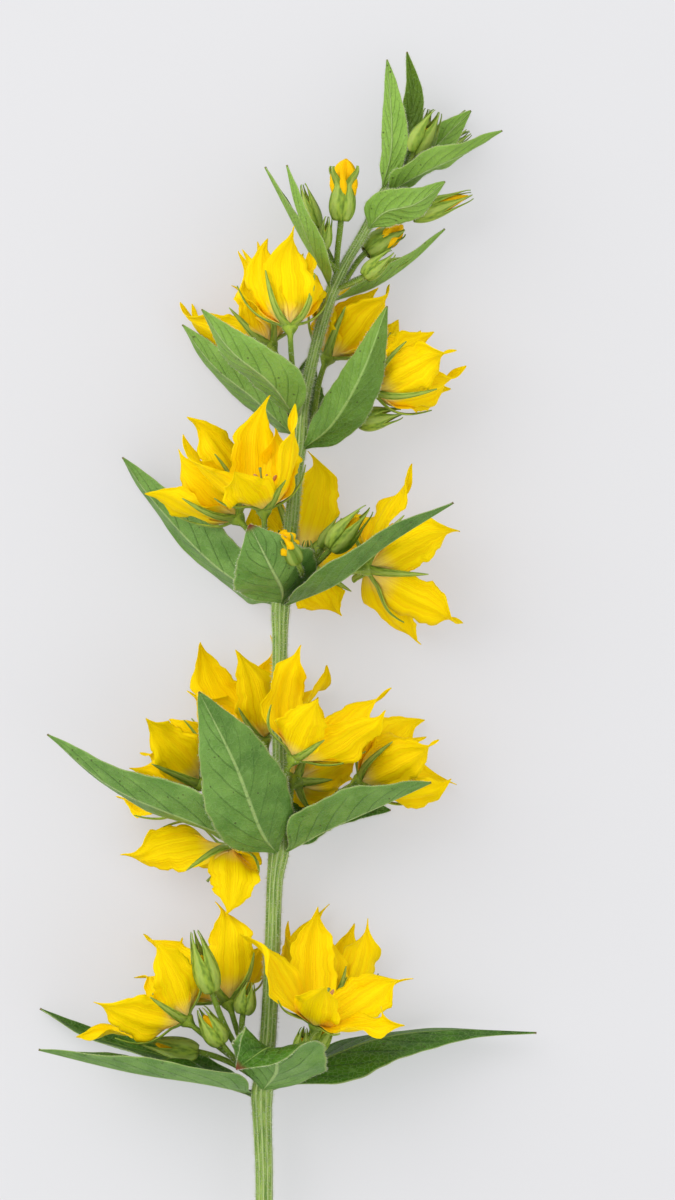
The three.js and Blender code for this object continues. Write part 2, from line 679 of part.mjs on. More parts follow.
// A flower's stalk and calyx in one: a five-sided stalk that widens to a cup with five sepals
function calyxGeometry(start, flower) {
  const { foot, axis, petals } = petalsOf(flower);
  const n = petals.length;
  const rim = foot.clone().addScaledVector(axis, -(PETAL_THICK / 2 + GAP));
  const curve = stalkCurve(start, rim, axis);
  const cup = CUP_DEPTH / curve.getLength();
  const shares = [1 - 0.5 * cup, 1 - cup, 0.66, 0.33, 0];
  const radii = [0.85 * CUP_RADIUS, STALK_RADIUS, STALK_RADIUS, STALK_RADIUS, STALK_RADIUS];

  // Rings from the cup down the stalk, each turned so that it doesn't twist against the last
  let toSepal = petals[0].radial.clone().add(petals[1].radial);
  const rings = shares.map((share, i) => {
    const centre = curve.getPointAt(share);
    const tangent = curve.getTangentAt(share);
    toSepal = toSepal.clone().addScaledVector(tangent, -toSepal.dot(tangent)).normalize();
    const side = new THREE.Vector3().crossVectors(tangent, toSepal);
    return petals.map((_, k) => {
      const turn = (k / n) * 2 * Math.PI;
      return centre
        .clone()
        .addScaledVector(toSepal, radii[i] * Math.cos(turn))
        .addScaledVector(side, radii[i] * Math.sin(turn));
    });
  });
  const vertices = rings.flat();
  const triangles = [];
  for (let r = 0; r + 1 < rings.length; r++) {
    for (let k = 0; k < n; k++) {
      const a = r * n + k;
      const b = r * n + ((k + 1) % n);
      triangles.push([a, b + n, b], [a, a + n, b + n]);
    }
  }
  const end = (rings.length - 1) * n;
  for (let k = 1; k + 1 < n; k++) triangles.push([end, end + k + 1, end + k]);

  // The cup's rim has a corner under each petal and one under each sepal
  const corner = vertices.length;
  petals.forEach((petal, k) => {
    const next = petals[(k + 1) % n];
    const between = petal.radial.clone().add(next.radial).normalize();
    vertices.push(rim.clone().addScaledVector(petal.radial, CUP_RADIUS));
    vertices.push(rim.clone().addScaledVector(between, CUP_RADIUS).addScaledVector(axis, -0.4));
  });
  petals.forEach((petal, k) => {
    const left = corner + 2 * k;
    const keel = left + 1;
    const right = corner + ((2 * k + 2) % (2 * n));
    triangles.push([k, keel, left], [k, right, keel], [k, (k + 1) % n, right]);
    const [midLeft, midKeel, midRight] = [0, 1, 2].map((i) => vertices.length + i);
    const tip = vertices.length + 3;
    const next = petals[(k + 1) % n];
    vertices.push(...sepalSection(petal, next, foot, axis, 0.45).slice(0, 3));
    vertices.push(sepalSection(petal, next, foot, axis, 1)[3]);
    triangles.push([left, keel, midKeel], [left, midKeel, midLeft]);
    triangles.push([keel, right, midRight], [keel, midRight, midKeel]);
    triangles.push([right, left, midLeft], [right, midLeft, midRight]);
    triangles.push([midLeft, midKeel, tip], [midKeel, midRight, tip], [midRight, midLeft, tip]);
  });
  for (let k = 1; k + 1 < n; k++) {
    triangles.push([corner, corner + 2 * k, corner + 2 * k + 2]);
  }
  return solid(vertices, triangles);
}

// A bud on its stalk: the closed calyx is a spindle that ends in a point
function budGeometry(start, bud) {
  const foot = photo(bud.foot);
  const tip = photo(bud.tip);
  const axis = tip.clone().sub(foot).normalize();
  const path = new THREE.CurvePath();
  path.add(stalkCurve(start, foot, axis));
  path.add(new THREE.LineCurve3(foot, tip));
  const body = foot.distanceTo(tip) / path.getLength();
  const stations = [
    [0, STALK_RADIUS],
    [0.5 - 0.5 * body, STALK_RADIUS],
    [1 - body, STALK_RADIUS],
    [1 - 0.8 * body, 0.95 * bud.radius],
    [1 - 0.45 * body, bud.radius],
    [1, 0.15 * bud.radius],
  ];
  return tube(path, stations, STALK_SIDES);
}

function clusterGeometry(name) {
  const start = axilStart(name);
  const lump = new THREE.OctahedronGeometry(LUMP_RADIUS, 0).translate(...start.point);
  const pieces = [toManifold(lump)];
  FLOWERS.filter((flower) => flower.axil === name).forEach((flower) => {
    pieces.push(toManifold(calyxGeometry(start, flower)));
  });
  BUDS.filter((bud) => bud.axil === name).forEach((bud) => {
    pieces.push(toManifold(budGeometry(start, bud)));
  });
  return fromManifold(wasm.Manifold.union(pieces));
}

const plant = new THREE.Group();

function add(name, geometry, color, roughness) {
  const material = new THREE.MeshStandardMaterial({ color, roughness, metalness: 0 });
  const mesh = new THREE.Mesh(geometry, material);
  mesh.name = name;
  plant.add(mesh);
}

add("stem", stemGeometry(), STEM_GREEN, 0.6);
LEAVES.forEach((leaf) => add(leaf.name, leafGeometry(leaf), LEAF_GREEN, 0.55));
Object.keys(AXILS).forEach((name) =>
  add(name.replace("axil", "flower_stalks"), clusterGeometry(name), CALYX_GREEN, 0.6),
);
FLOWERS.forEach((flower) =>
  add("corolla_" + flower.name, corollaGeometry(flower), PETAL_YELLOW, 0.5),
);

// The part's own origin is under the middle of its box, on the surface it lies on.
const box = new THREE.Box3().setFromObject(plant);
const middle = box.getCenter(new THREE.Vector3());
plant.position.set(-middle.x, -middle.y, -box.min.z);

export default plant;
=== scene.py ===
# %% [markdown]
# # A cut flowering stem of yellow loosestrife
#
# Yellow loosestrife carries its leaves in rings, called whorls. Out of the corner between each leaf
# and the stem grows a small bunch of stalks with star-shaped yellow flowers and pointed buds. This
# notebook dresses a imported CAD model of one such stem, which lies on a pale table. The CAD model has
# the true places and sizes. Here every blade, petal and stalk is made again as a smooth surface.
#
# The surfaces are worked out with numpy. Each is a function of two numbers, such as "how far along
# the leaf" and "how far across it", and the whole grid is computed at once.

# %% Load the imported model
import bpy
import numpy as np
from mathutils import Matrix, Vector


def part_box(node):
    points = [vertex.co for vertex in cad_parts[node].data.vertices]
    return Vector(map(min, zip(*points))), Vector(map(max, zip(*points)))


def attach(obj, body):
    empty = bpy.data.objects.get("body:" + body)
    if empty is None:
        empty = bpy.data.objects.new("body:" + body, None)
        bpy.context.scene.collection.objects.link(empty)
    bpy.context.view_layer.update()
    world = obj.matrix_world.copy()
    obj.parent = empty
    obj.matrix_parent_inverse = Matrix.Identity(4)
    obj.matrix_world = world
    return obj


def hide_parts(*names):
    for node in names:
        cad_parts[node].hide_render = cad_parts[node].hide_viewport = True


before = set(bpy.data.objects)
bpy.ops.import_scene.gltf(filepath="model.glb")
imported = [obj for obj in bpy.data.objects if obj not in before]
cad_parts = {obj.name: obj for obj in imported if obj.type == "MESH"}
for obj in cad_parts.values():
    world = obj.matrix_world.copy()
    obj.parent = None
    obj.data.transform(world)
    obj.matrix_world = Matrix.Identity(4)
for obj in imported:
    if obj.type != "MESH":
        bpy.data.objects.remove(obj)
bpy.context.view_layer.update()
print("CAD nodes:", len(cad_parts))

# %% [markdown]
# ## One frame for everything
#
# The plant was measured in pixels of the photograph: a column, a row, and a height above the table
# in millimetres. One pixel is 0.18 mm of plant. The first table is the stem's centreline with its
# radius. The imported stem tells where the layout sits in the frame, so nothing is fitted by eye.

# %% The stem's centreline and the way from photograph to frame
MM = 0.001
PIXEL = 0.18 * MM
STEM_COLUMN = 275
FOOT_ROW = 1200

STEM = np.array([
    [264, 1234, 8.6, 1.6], [264, 1170, 9.0, 1.6], [262, 1112, 9.3, 1.8], [262, 1094, 9.4, 2.0],
    [265, 1066, 9.5, 1.55], [268, 1036, 9.6, 1.5], [272, 960, 10.2, 1.45], [275, 880, 10.8, 1.5],
    [279, 849, 11.0, 1.9], [280, 820, 11.2, 1.5], [280, 720, 11.6, 1.4], [280, 640, 11.9, 1.4],
    [281, 602, 12.0, 1.7], [285, 575, 12.1, 1.3], [291, 528, 12.1, 1.25], [297, 462, 12.0, 1.3],
    [300, 440, 12.0, 1.45], [302, 412, 11.9, 1.25], [306, 389, 11.8, 1.1], [326, 309, 11.0, 1.1],
    [334, 287, 10.8, 1.25], [347, 261, 10.5, 0.9], [367, 227, 10.1, 0.95], [386, 188, 9.8, 0.8],
    [402, 168, 9.8, 0.45],
])


def in_layout(points):
    """Column, row and height turned into metres: right, up the picture, and off the table."""
    p = np.asarray(points, float)
    right = (p[..., 0] - STEM_COLUMN) * PIXEL
    up = (FOOT_ROW - p[..., 1]) * PIXEL
    return np.stack([right, up, p[..., 2] * MM], -1)


# The CAD stem has eight flat sides, so it reaches cos(22.5 degrees) of its radius to each side.
reach = np.outer(STEM[:, 3] * MM * np.cos(np.pi / 8), [1, 0, 1])
SHIFT = np.array(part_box("stem")[0]) - (in_layout(STEM) - reach).min(axis=0)


def at_photo(points):
    """The same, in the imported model's frame."""
    return in_layout(points) + SHIFT


print("layout moved by (mm):", np.round(SHIFT / MM, 2))

# %% [markdown]
# ## Small tools for curves
#
# A stem, a midrib or a stalk is a smooth line through a few points. The line used here is a cubic
# Hermite curve: between two points it is the cubic that passes both with the slopes of its
# neighbours, so it never has a corner. Points are then spread evenly along its length.

# %% Vectors and smooth lines
def unit(v):
    """Vectors divided by their own lengths."""
    return v / np.maximum(np.linalg.norm(v, axis=-1, keepdims=True), 1e-12)


def dot(a, b):
    """The dot product along the last axis, kept as a column so that it can scale vectors."""
    return np.sum(a * b, axis=-1, keepdims=True)


def smooth_line(points, count):
    """Evenly spaced points on the Hermite curve whose parameter grows with the root of each chord."""
    p = np.asarray(points, float)
    chords = np.linalg.norm(np.diff(p[:, :3], axis=0), axis=1)
    t = np.concatenate([[0], np.cumsum(np.sqrt(chords))])
    slopes = np.gradient(p, t, axis=0)

    def at(u):
        i = np.clip(np.searchsorted(t, u, side="right") - 1, 0, len(t) - 2)
        h = (t[i + 1] - t[i])[:, None]
        f = (u - t[i])[:, None] / h
        return ((2 * f**3 - 3 * f**2 + 1) * p[i] + (f**3 - 2 * f**2 + f) * h * slopes[i]
                + (3 * f**2 - 2 * f**3) * p[i + 1] + (f**3 - f**2) * h * slopes[i + 1])

    fine = np.linspace(0, t[-1], 600)
    steps = np.linalg.norm(np.diff(at(fine)[:, :3], axis=0), axis=1)
    length = np.concatenate([[0], np.cumsum(steps)])
    return at(np.interp(np.linspace(0, length[-1], count), length, fine))


def bezier(points, s):
    """A cubic Bezier curve: the four points mixed by the weights of the binomial (s + (1 - s))^3."""
    p0, p1, p2, p3 = points
    return (1 - s)**3 * p0 + 3 * (1 - s)**2 * s * p1 + 3 * (1 - s) * s**2 * p2 + s**3 * p3


def ease(x, low, high):
    """0 below low, 1 above high, and a smooth S between them."""
    f = np.clip((x - low) / (high - low), 0, 1)
    return f * f * (3 - 2 * f)


TABLE = 0.35 * MM
THIN_LIFT = 1.0 * MM
SOFTNESS = 0.5 * MM


def rested(points, lowest=TABLE):
    """What would hang below the table is pressed up: height = lowest + (above + hypot(above, soft)) / 2."""
    p = np.array(points, float)
    above = p[..., 2] - lowest
    p[..., 2] = lowest + (above + np.hypot(above, 2 * SOFTNESS)) / 2
    return p


corner = smooth_line([[0, 0, 0], [1, 1, 0], [2, 0, 0]], 5)
print("a smooth line through 3 points:", corner.round(2).tolist())

# %% [markdown]
# ## From grids to pieces
#
# A blade has two skins a fraction of a millimetre apart, joined round the edge, so that it is a
# closed body like the real thing. A tube is a ring carried along a line. Both are grids, so their
# faces follow from the count of rows and columns alone. Each point also keeps two numbers for the
# material: `uv`, its place on the piece, and `tone`, a number from 0 to 1 whose meaning depends on
# the piece.

# %% Closed blades, closed tubes and the meshes made from them
def quads_of(rows, columns, closed=False):
    """The four corners of every cell of a grid; a closed grid also joins its last column to its first."""
    r = np.arange(rows - 1)[:, None]
    c = np.arange(columns if closed else columns - 1)[None, :]
    a = r * columns + c
    b = r * columns + (c + 1) % columns
    return np.stack([a, a + columns, b + columns, b], -1).reshape(-1, 4)


def grid_uv(across, along):
    """One number for the way across and one for the way along, for every point of a grid."""
    return np.stack(np.broadcast_arrays(across[None], along[:, None]), -1)


def circle(first, second, turn):
    """first * cos turn + second * sin turn, with the turns on an axis of their own."""
    turn = turn[..., None]
    return first * np.cos(turn) + second * np.sin(turn)


def blade(middle, thickness, uv, tone):
    """Two skins half a thickness to each side of the middle surface, and a rim of quads round them.
    The normal is the cross product of the steps to the next row and to the next column."""
    rows, columns = middle.shape[:2]
    normal = unit(np.cross(np.gradient(middle, axis=0), np.gradient(middle, axis=1)))
    half = 0.5 * thickness[..., None] * normal
    points = np.concatenate([(middle + half).reshape(-1, 3), (middle - half).reshape(-1, 3)])
    front = quads_of(rows, columns)
    count = rows * columns
    index = np.arange(count).reshape(rows, columns)
    border = np.concatenate([index[0], index[1:, -1], index[-1, -2::-1], index[-2:0:-1, 0]])
    after = np.roll(border, -1)
    rim = np.stack([border, after, after + count, border + count], -1)
    quads = np.concatenate([front, front[:, ::-1] + count, rim])
    skin = np.repeat([1.0, 0.0], count)
    return dict(points=points, quads=quads, tris=np.zeros((0, 3), int),
                uv=np.tile(uv.reshape(-1, 2), (2, 1)), tone=np.tile(tone.reshape(-1), 2), skin=skin)


def frames_along(line):
    """The direction of a line at each point, and two vectors square to it that hardly turn."""
    ahead = unit(np.gradient(line, axis=0))
    start = np.cross(ahead[0], [0.36, 0.48, 0.8])
    # The part of one fixed vector that is square to the line changes slowly on a line this straight.
    first = unit(start - dot(start, ahead) * ahead)
    return ahead, first, np.cross(ahead, first)


def tube(line, radii, sides, wobble=None, tone=None):
    """Rings of points round a line: centre + radius * (cos turn * first + sin turn * second)."""
    ahead, first, second = frames_along(line)
    turn = np.linspace(0, 2 * np.pi, sides, endpoint=False)
    round_ = circle(first[:, None], second[:, None], turn)
    size = np.broadcast_to(np.asarray(radii, float)[:, None], (len(line), sides))
    if wobble is not None:
        size = size * (1 + wobble(turn))
    rings = line[:, None] + size[..., None] * round_
    points = np.concatenate([rings.reshape(-1, 3), line[:1], line[-1:]])
    last = (len(line) - 1) * sides
    k = np.arange(sides)
    after = (k + 1) % sides
    foot, top = len(points) - 2, len(points) - 1
    tris = np.concatenate([np.stack([np.full(sides, foot), k, after], -1),
                           np.stack([np.full(sides, top), last + after, last + k], -1)])
    uv = grid_uv(turn / (2 * np.pi), np.linspace(0, 1, len(line))).reshape(-1, 2)
    tones = np.zeros(len(line)) if tone is None else tone
    tones = np.repeat(tones, sides)
    return dict(points=points, quads=quads_of(len(line), sides, True), tris=tris,
                uv=np.concatenate([uv, [[0, 0], [0, 1]]]),
                tone=np.concatenate([tones, [tones[0], tones[-1]]]), skin=np.zeros(len(points)),
                rings=rings, outwards=round_)


def make_piece(name, shapes, material, node=None):
    """One object from several shapes: their points in a row, and their faces counted on from there."""
    starts = np.cumsum([0] + [len(s["points"]) for s in shapes])
    points = np.concatenate([s["points"] for s in shapes])
    quads = np.concatenate([s["quads"] + at for s, at in zip(shapes, starts)])
    tris = np.concatenate([s["tris"] + at for s, at in zip(shapes, starts)])
    corners = np.concatenate([quads.reshape(-1), tris.reshape(-1)])
    sizes = np.repeat([4, 3], [len(quads), len(tris)])
    mesh = bpy.data.meshes.new(name)
    mesh.vertices.add(len(points))
    mesh.vertices.foreach_set("co", points.astype(np.float32).ravel())
    mesh.loops.add(len(corners))
    mesh.loops.foreach_set("vertex_index", corners.astype(np.int32))
    mesh.polygons.add(len(sizes))
    mesh.polygons.foreach_set("loop_start", (np.cumsum(sizes) - sizes).astype(np.int32))
    mesh.polygons.foreach_set("loop_total", sizes.astype(np.int32))
    mesh.polygons.foreach_set("use_smooth", np.ones(len(sizes), bool))
    mesh.update(calc_edges=True)
    uv = np.concatenate([s["uv"] for s in shapes])
    layer = mesh.uv_layers.new(name="UVMap")
    layer.uv.foreach_set("vector", uv[corners].astype(np.float32).ravel())
    for key in ("tone", "skin"):
        values = np.concatenate([s[key] for s in shapes])
        mesh.attributes.new(key, "FLOAT", "POINT").data.foreach_set("value", values.astype(np.float32))
    piece = bpy.data.objects.new(name, mesh)
    bpy.context.collection.objects.link(piece)
    mesh.materials.append(material)
    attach(piece, "root")
    if node:
        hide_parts(node)
    return piece


print("a 3 by 4 grid has", len(quads_of(3, 4)), "cells")

# %% [markdown]
# ## Finishes
#
# Plant tissue is never one flat colour. A leaf has a pale midrib and dark side veins, and its
# underside is paler than its upper side. A petal has fine lines that run to its tip and turns orange
# at its foot. These patterns follow the surface, so the materials read the piece's own UV map
# instead of its place in space. The class below only shortens the writing: each method adds one
# node, and `between` is a smooth step from `first` to `second` as the value goes from low to high.

# %% A short way to write a node material
def srgb(red, green, blue):
    """A colour as seen on a screen, 0 to 255, turned into the linear light that shaders use."""
    c = np.array([red, green, blue]) / 255
    return tuple(np.where(c <= 0.04045, c / 12.92, ((c + 0.055) / 1.055)**2.4)) + (1.0,)


class Finish:
    """A material with one Principled shader and short methods for the nodes that feed it. `layer`
    mixes a colour into the base by a share of a mask."""

    def __init__(self, name, **settings):
        self.material = bpy.data.materials.new(name)
        self.material.use_nodes = True
        self.tree = self.material.node_tree
        self.shader = self.tree.nodes["Principled BSDF"]
        for key, value in settings.items():
            self.shader.inputs[key.replace("_", " ")].default_value = value

    def add(self, kind, inputs=(), **properties):
        node = self.tree.nodes.new("ShaderNode" + kind)
        for key, value in properties.items():
            setattr(node, key, value)
        for key, value in dict(inputs).items():
            if isinstance(value, bpy.types.NodeSocket):
                self.tree.links.new(value, node.inputs[key])
            else:
                node.inputs[key].default_value = value
        return node

    def math(self, operation, a, b=0.0):
        return self.add("Math", {0: a, 1: b}, operation=operation).outputs[0]

    def times(self, a, b):
        return self.math("MULTIPLY", a, b)

    def blend(self, share, a, b):
        node = self.add("Mix", {0: share, 6: a, 7: b}, data_type="RGBA")
        return node.outputs[2]

    def layer(self, base, mask, share, colour):
        return self.blend(self.times(mask, share), base, colour)

    def between(self, value, low, high, first=0.0, second=1.0):
        inputs = {0: value, 1: low, 2: high, 3: first, 4: second}
        return self.add("MapRange", inputs, interpolation_type="SMOOTHSTEP").outputs[0]

    def read(self, name):
        return self.add("Attribute", attribute_name=name).outputs["Fac"]

    def noise(self, place, scale, detail=3.0, stretch=(1, 1, 1)):
        where = self.add("Mapping", {"Vector": place, "Scale": stretch}).outputs[0]
        return self.add("TexNoise", {"Vector": where, "Scale": scale, "Detail": detail}).outputs[0]

    def colour(self, socket):
        self.tree.links.new(socket, self.shader.inputs["Base Color"])

    def bump(self, height, distance, strength=1.0):
        inputs = {"Height": height, "Distance": distance, "Strength": strength}
        self.tree.links.new(self.add("Bump", inputs).outputs[0], self.shader.inputs["Normal"])


def place_and_uv(finish):
    """The object coordinates, and the two numbers of the UV map: across and along the piece."""
    place = finish.add("TexCoord").outputs["Object"]
    uv = finish.add("UVMap", uv_map="UVMap").outputs[0]
    parts = finish.add("SeparateXYZ", {0: uv}).outputs
    return place, uv, parts[0], parts[1]


# %% [markdown]
# ### The leaf
#
# Leaves near the tip of the stem are the youngest, so they are mixed with a fresh yellow green and their
# side veins are fainter. The attribute `skin` is 1 on the upper side and 0 on the underside. On some leaves
# that show their underside it is raised on one or both halves, which paints shade there with the upper
# side's dark green.
#
# The veins are drawn from the UV map. `across` is 0.5 on the midrib, so its distance from 0.5 says how far
# out a point lies. Side veins leave the midrib at a slant: they are the places where "along minus a share
# of the distance" passes a whole number of vein spacings. A saw-toothed distance to the nearest such line
# gives the vein. The midrib is mixed with a paler green and the side veins with a deeper one, which is
# partly their own colour and partly painted shade along them, and both stand out on the underside and sink
# in on the upper side.
# Two Voronoi patterns add the fine net between the veins and the leaf's small dark dots.

# %% Leaf finish
VEINS = 7.0


def leaf_finish():
    """The leaf's greens, mixed in this order: sides with painted shade on some halves, age, net, midrib,
    veins partly painted shade, dots, edge and rust.
    """
    f = Finish("leaf_green", Roughness=0.45, Subsurface_Weight=0.08, Subsurface_Scale=0.001,
               Specular_IOR_Level=0.22)
    f.shader.inputs["Subsurface Radius"].default_value = (0.6, 1.0, 0.2)
    place, uv, across, along = place_and_uv(f)
    out = f.math("ABSOLUTE", f.math("SUBTRACT", across, 0.5))
    midrib = f.between(out, 0.010, 0.028, 1.0, 0.0)
    slant = f.math("SUBTRACT", along, f.times(f.math("POWER", out, 1.15), 0.75))
    phase = f.math("PINGPONG", f.times(slant, VEINS), 0.5)
    vein = f.between(phase, 0.015, 0.06, 1.0, 0.0)
    vein = f.times(vein, f.between(out, 0.25, 0.48, 0.7, 0.0))
    net = f.add("TexVoronoi", {"Vector": place, "Scale": 1100.0}, feature="DISTANCE_TO_EDGE").outputs[0]
    net = f.between(net, 0.0, 0.12, 1.0, 0.0)
    cloud = f.between(f.noise(place, 260.0), 0.1, 0.9)
    upper = f.read("skin")
    rust = f.read("tone")
    top = f.blend(cloud, srgb(38, 74, 8), srgb(72, 116, 20))
    under = f.blend(cloud, srgb(80, 122, 44), srgb(122, 160, 76))
    # Where the skin attribute carries painted shade, this mixes the upper side's dark green into a half
    # that shows the underside.
    base = f.blend(upper, under, top)
    height = f.add("SeparateXYZ", {0: place}).outputs[1]
    young = f.between(height, 0.02, 0.075)
    fresh = f.blend(upper, srgb(140, 178, 66), srgb(98, 124, 22))
    base = f.layer(base, young, 0.62, fresh)
    base = f.layer(base, net, 0.18, srgb(146, 182, 106))
    pale = f.blend(upper, srgb(176, 200, 128), srgb(140, 172, 80))
    base = f.layer(base, midrib, 0.65, pale)
    # The side veins get a deeper green: partly their own colour, partly painted shade along them.
    deep = f.blend(upper, srgb(64, 104, 34), srgb(28, 56, 8))
    base = f.layer(base, vein, f.between(young, 0, 1, 0.5, 0.2), deep)
    dots = f.add("TexVoronoi", {"Vector": place, "Scale": 650.0}).outputs["Distance"]
    some = f.between(f.noise(place, 420.0), 0.5, 0.56)
    dots = f.times(f.between(dots, 0.1, 0.17, 1.0, 0.0), some)
    base = f.layer(base, dots, 0.7, srgb(58, 58, 22))
    base = f.layer(base, f.between(out, 0.475, 0.495), 0.5, srgb(176, 190, 120))
    base = f.blend(rust, base, srgb(120, 62, 38))
    f.colour(base)
    relief = f.times(f.math("MAXIMUM", vein, midrib), f.math("SUBTRACT", 0.5, upper))
    relief = f.math("ADD", relief, f.times(f.noise(place, 1500.0, 2.0), 0.25))
    relief = f.math("ADD", relief, f.times(net, 0.12))
    f.bump(relief, 0.0006, 0.9)
    return f.material


LEAF_GREEN = leaf_finish()
print("made", LEAF_GREEN.name)

# %% [markdown]
# ### Petals, green parts and the small things
#
# A petal is thin enough for light to pass, so it gets subsurface scattering: light enters on one
# skin and leaves by the other. Its lines are a noise pattern that repeats 34 times across the petal
# and about once along it. Near the foot the inside is orange and the outside, where `skin` is 1, is
# pale. A picture of a petal could give the same, but a formula stays sharp from any distance.
#
# On green pieces `tone` is the share of the darker green, so sepal tips and stalks are darker.

# %% Petal finish
def petal_finish(name, tip, foot, outside):
    """A petal that fades from the colour of its tip to one colour at its foot on each side."""
    f = Finish(name, Roughness=0.55, Subsurface_Weight=0.3, Subsurface_Scale=0.0015,
               Specular_IOR_Level=0.05)
    f.shader.inputs["Subsurface Radius"].default_value = (1.0, 0.75, 0.15)
    place, uv, across, along = place_and_uv(f)
    lines = f.between(f.noise(uv, 1.0, 3.0, (34, 1.2, 1)), 0.42, 0.66)
    base = f.layer(tip, lines, 0.5, srgb(242, 172, 0))
    base = f.layer(base, f.noise(place, 240.0), 0.3, srgb(255, 226, 12))
    at_foot = f.between(along, 0.05, 0.36, 1.0, 0.0)
    f.colour(f.layer(base, at_foot, 0.8, f.blend(f.read("skin"), foot, outside)))
    f.bump(lines, 0.00012, 0.6)
    return f.material


PETAL_YELLOW = petal_finish("petal_yellow", srgb(255, 212, 0), srgb(240, 164, 14), srgb(250, 216, 140))
BUD_YELLOW = petal_finish("bud_yellow", srgb(242, 182, 8), srgb(214, 140, 20), srgb(214, 160, 60))
print("made", PETAL_YELLOW.name, BUD_YELLOW.name)

# %% Stem and calyx finishes
def green_finish(name, light, dark, rib, ribs, streaks):
    """A green skin with paler lines that run along the piece, ribs of them round it, and fine grain.
    Streaks is how many times the noise repeats round and along the piece."""
    f = Finish(name, Roughness=0.55, Subsurface_Weight=0.1, Subsurface_Scale=0.001,
               Specular_IOR_Level=0.25)
    place, uv, across, along = place_and_uv(f)
    line = f.between(f.math("PINGPONG", f.times(across, ribs), 0.5), 0.08, 0.24, 1.0, 0.0)
    cloud = f.between(f.noise(uv, 1.0, 3.0, streaks), 0.35, 0.65)
    base = f.blend(f.read("tone"), f.blend(cloud, light, dark), dark)
    f.colour(f.layer(base, line, 0.45, rib))
    f.bump(f.noise(place, 1200.0, 3.0), 0.0003, 0.5)
    return f.material


STEM_GREEN = green_finish("stem_green", srgb(142, 168, 78), srgb(94, 126, 46), srgb(196, 210, 150),
                          12.0, (34, 40, 1))
CALYX_GREEN = green_finish("calyx_green", srgb(158, 182, 58), srgb(102, 130, 34), srgb(178, 196, 98),
                           1.0, (5, 6, 1))
print("made", STEM_GREEN.name, CALYX_GREEN.name)

# %% Hair, stamen and style finishes
def plain_finish(name, light, dark, scale, roughness):
    """Two colours mixed by a noise of the given scale, with the same noise as relief."""
    f = Finish(name, Roughness=roughness)
    cloud = f.noise(place_and_uv(f)[0], scale)
    f.colour(f.blend(cloud, light, dark))
    f.bump(cloud, 0.0002, 0.4)
    return f.material


HAIR_PALE = plain_finish("pale_hair", srgb(206, 216, 178), srgb(226, 230, 206), 400.0, 0.6)
ANTHER_BROWN = plain_finish("anther_brown", srgb(206, 150, 92), srgb(164, 108, 62), 900.0, 0.7)
FILAMENT_YELLOW = plain_finish("filament_yellow", srgb(240, 176, 20), srgb(222, 140, 20), 900.0, 0.6)
STYLE_GREEN = plain_finish("style_green", srgb(140, 160, 70), srgb(110, 134, 50), 900.0, 0.5)
print("made the four small finishes")

# %% [markdown]
# ## The stem
#
# The stem is a tube of changing radius, swollen at each whorl. Six shallow ribs run along it, made
# by letting the radius go up and down six and twelve times round the ring:
# radius * (1 + 0.045 cos 6 turn + 0.02 cos 12 turn). A Blender curve with a bevel would be quicker,
# but its points would not be known to numpy, and the leaves, stalks and hairs all start from them.

# %% Make the stem
STEM_ROWS = 520
stem_line = smooth_line(np.column_stack([at_photo(STEM[:, :3]), STEM[:, 3] * MM]), STEM_ROWS)
stem_path, stem_radii = stem_line[:, :3], stem_line[:, 3]
stem_ahead = unit(np.gradient(stem_path, axis=0))


def ribs(turn):
    """Six ribs and the shallow grooves that split them."""
    return 0.045 * np.cos(6 * turn) + 0.02 * np.cos(12 * turn)


stem_tube = tube(stem_path, stem_radii, 48, ribs)
make_piece("ribbed_stem", [stem_tube], STEM_GREEN, "stem")


def stem_at(row):
    """Centre, direction and radius of the stem at a row of the photograph."""
    y = at_photo([0, row, 0])[1]
    i = int(np.argmin(np.abs(stem_path[:, 1] - y)))
    return stem_path[i], stem_ahead[i], stem_radii[i]


def outward(ahead, azimuth):
    """The direction that leaves the stem at an azimuth, 0 right and 90 up off the table, square to it."""
    turn = np.radians(azimuth)
    radial = np.array([np.cos(turn), 0, np.sin(turn)])
    return unit(radial - dot(radial, ahead) * ahead)


print("stem length (mm):", round(float(np.linalg.norm(np.diff(stem_path, axis=0), axis=1).sum() / MM)))

# %% [markdown]
# ## Leaves
#
# A leaf is a surface over its midrib. Across the midrib it is folded into a shallow V, and each half
# arches a little. `facing` says where the upper side looks: 0 to the right of the way it grows, 90
# up, 180 to the left. The outline is a sine whose peak is pulled towards the base, so the leaf is
# widest at 40 % of its length and runs out to a point: half width = sin(pi * s^0.76)^0.95. Over the
# first 18 % it is narrowed to a wedge. A leaf could also be cut from a flat mesh and bent with
# modifiers. With a formula the fold, the waves and the swellings between the veins all follow from
# the same two numbers as the veins of the finish, so they always meet.
#
# Some leaves have more to say. `rust` reddens the tip, `wavy` makes the waves of the edge larger, `drawn`
# narrows the outer part, and `across` sets the blade's level direction where the leaf bends back on itself.
# `deep` paints shade: it gives the share of the upper side's dark green in the left and right half of a
# leaf that shows its underside, more on a half that lies in shade.

# %% Where each leaf grows
def table(columns, rows):
    """Each row as a dictionary under the named columns; what only some rows have is a dict at the end."""
    names = columns.split()
    return [dict(zip(names, row), **dict(*row[len(names):])) for row in rows]
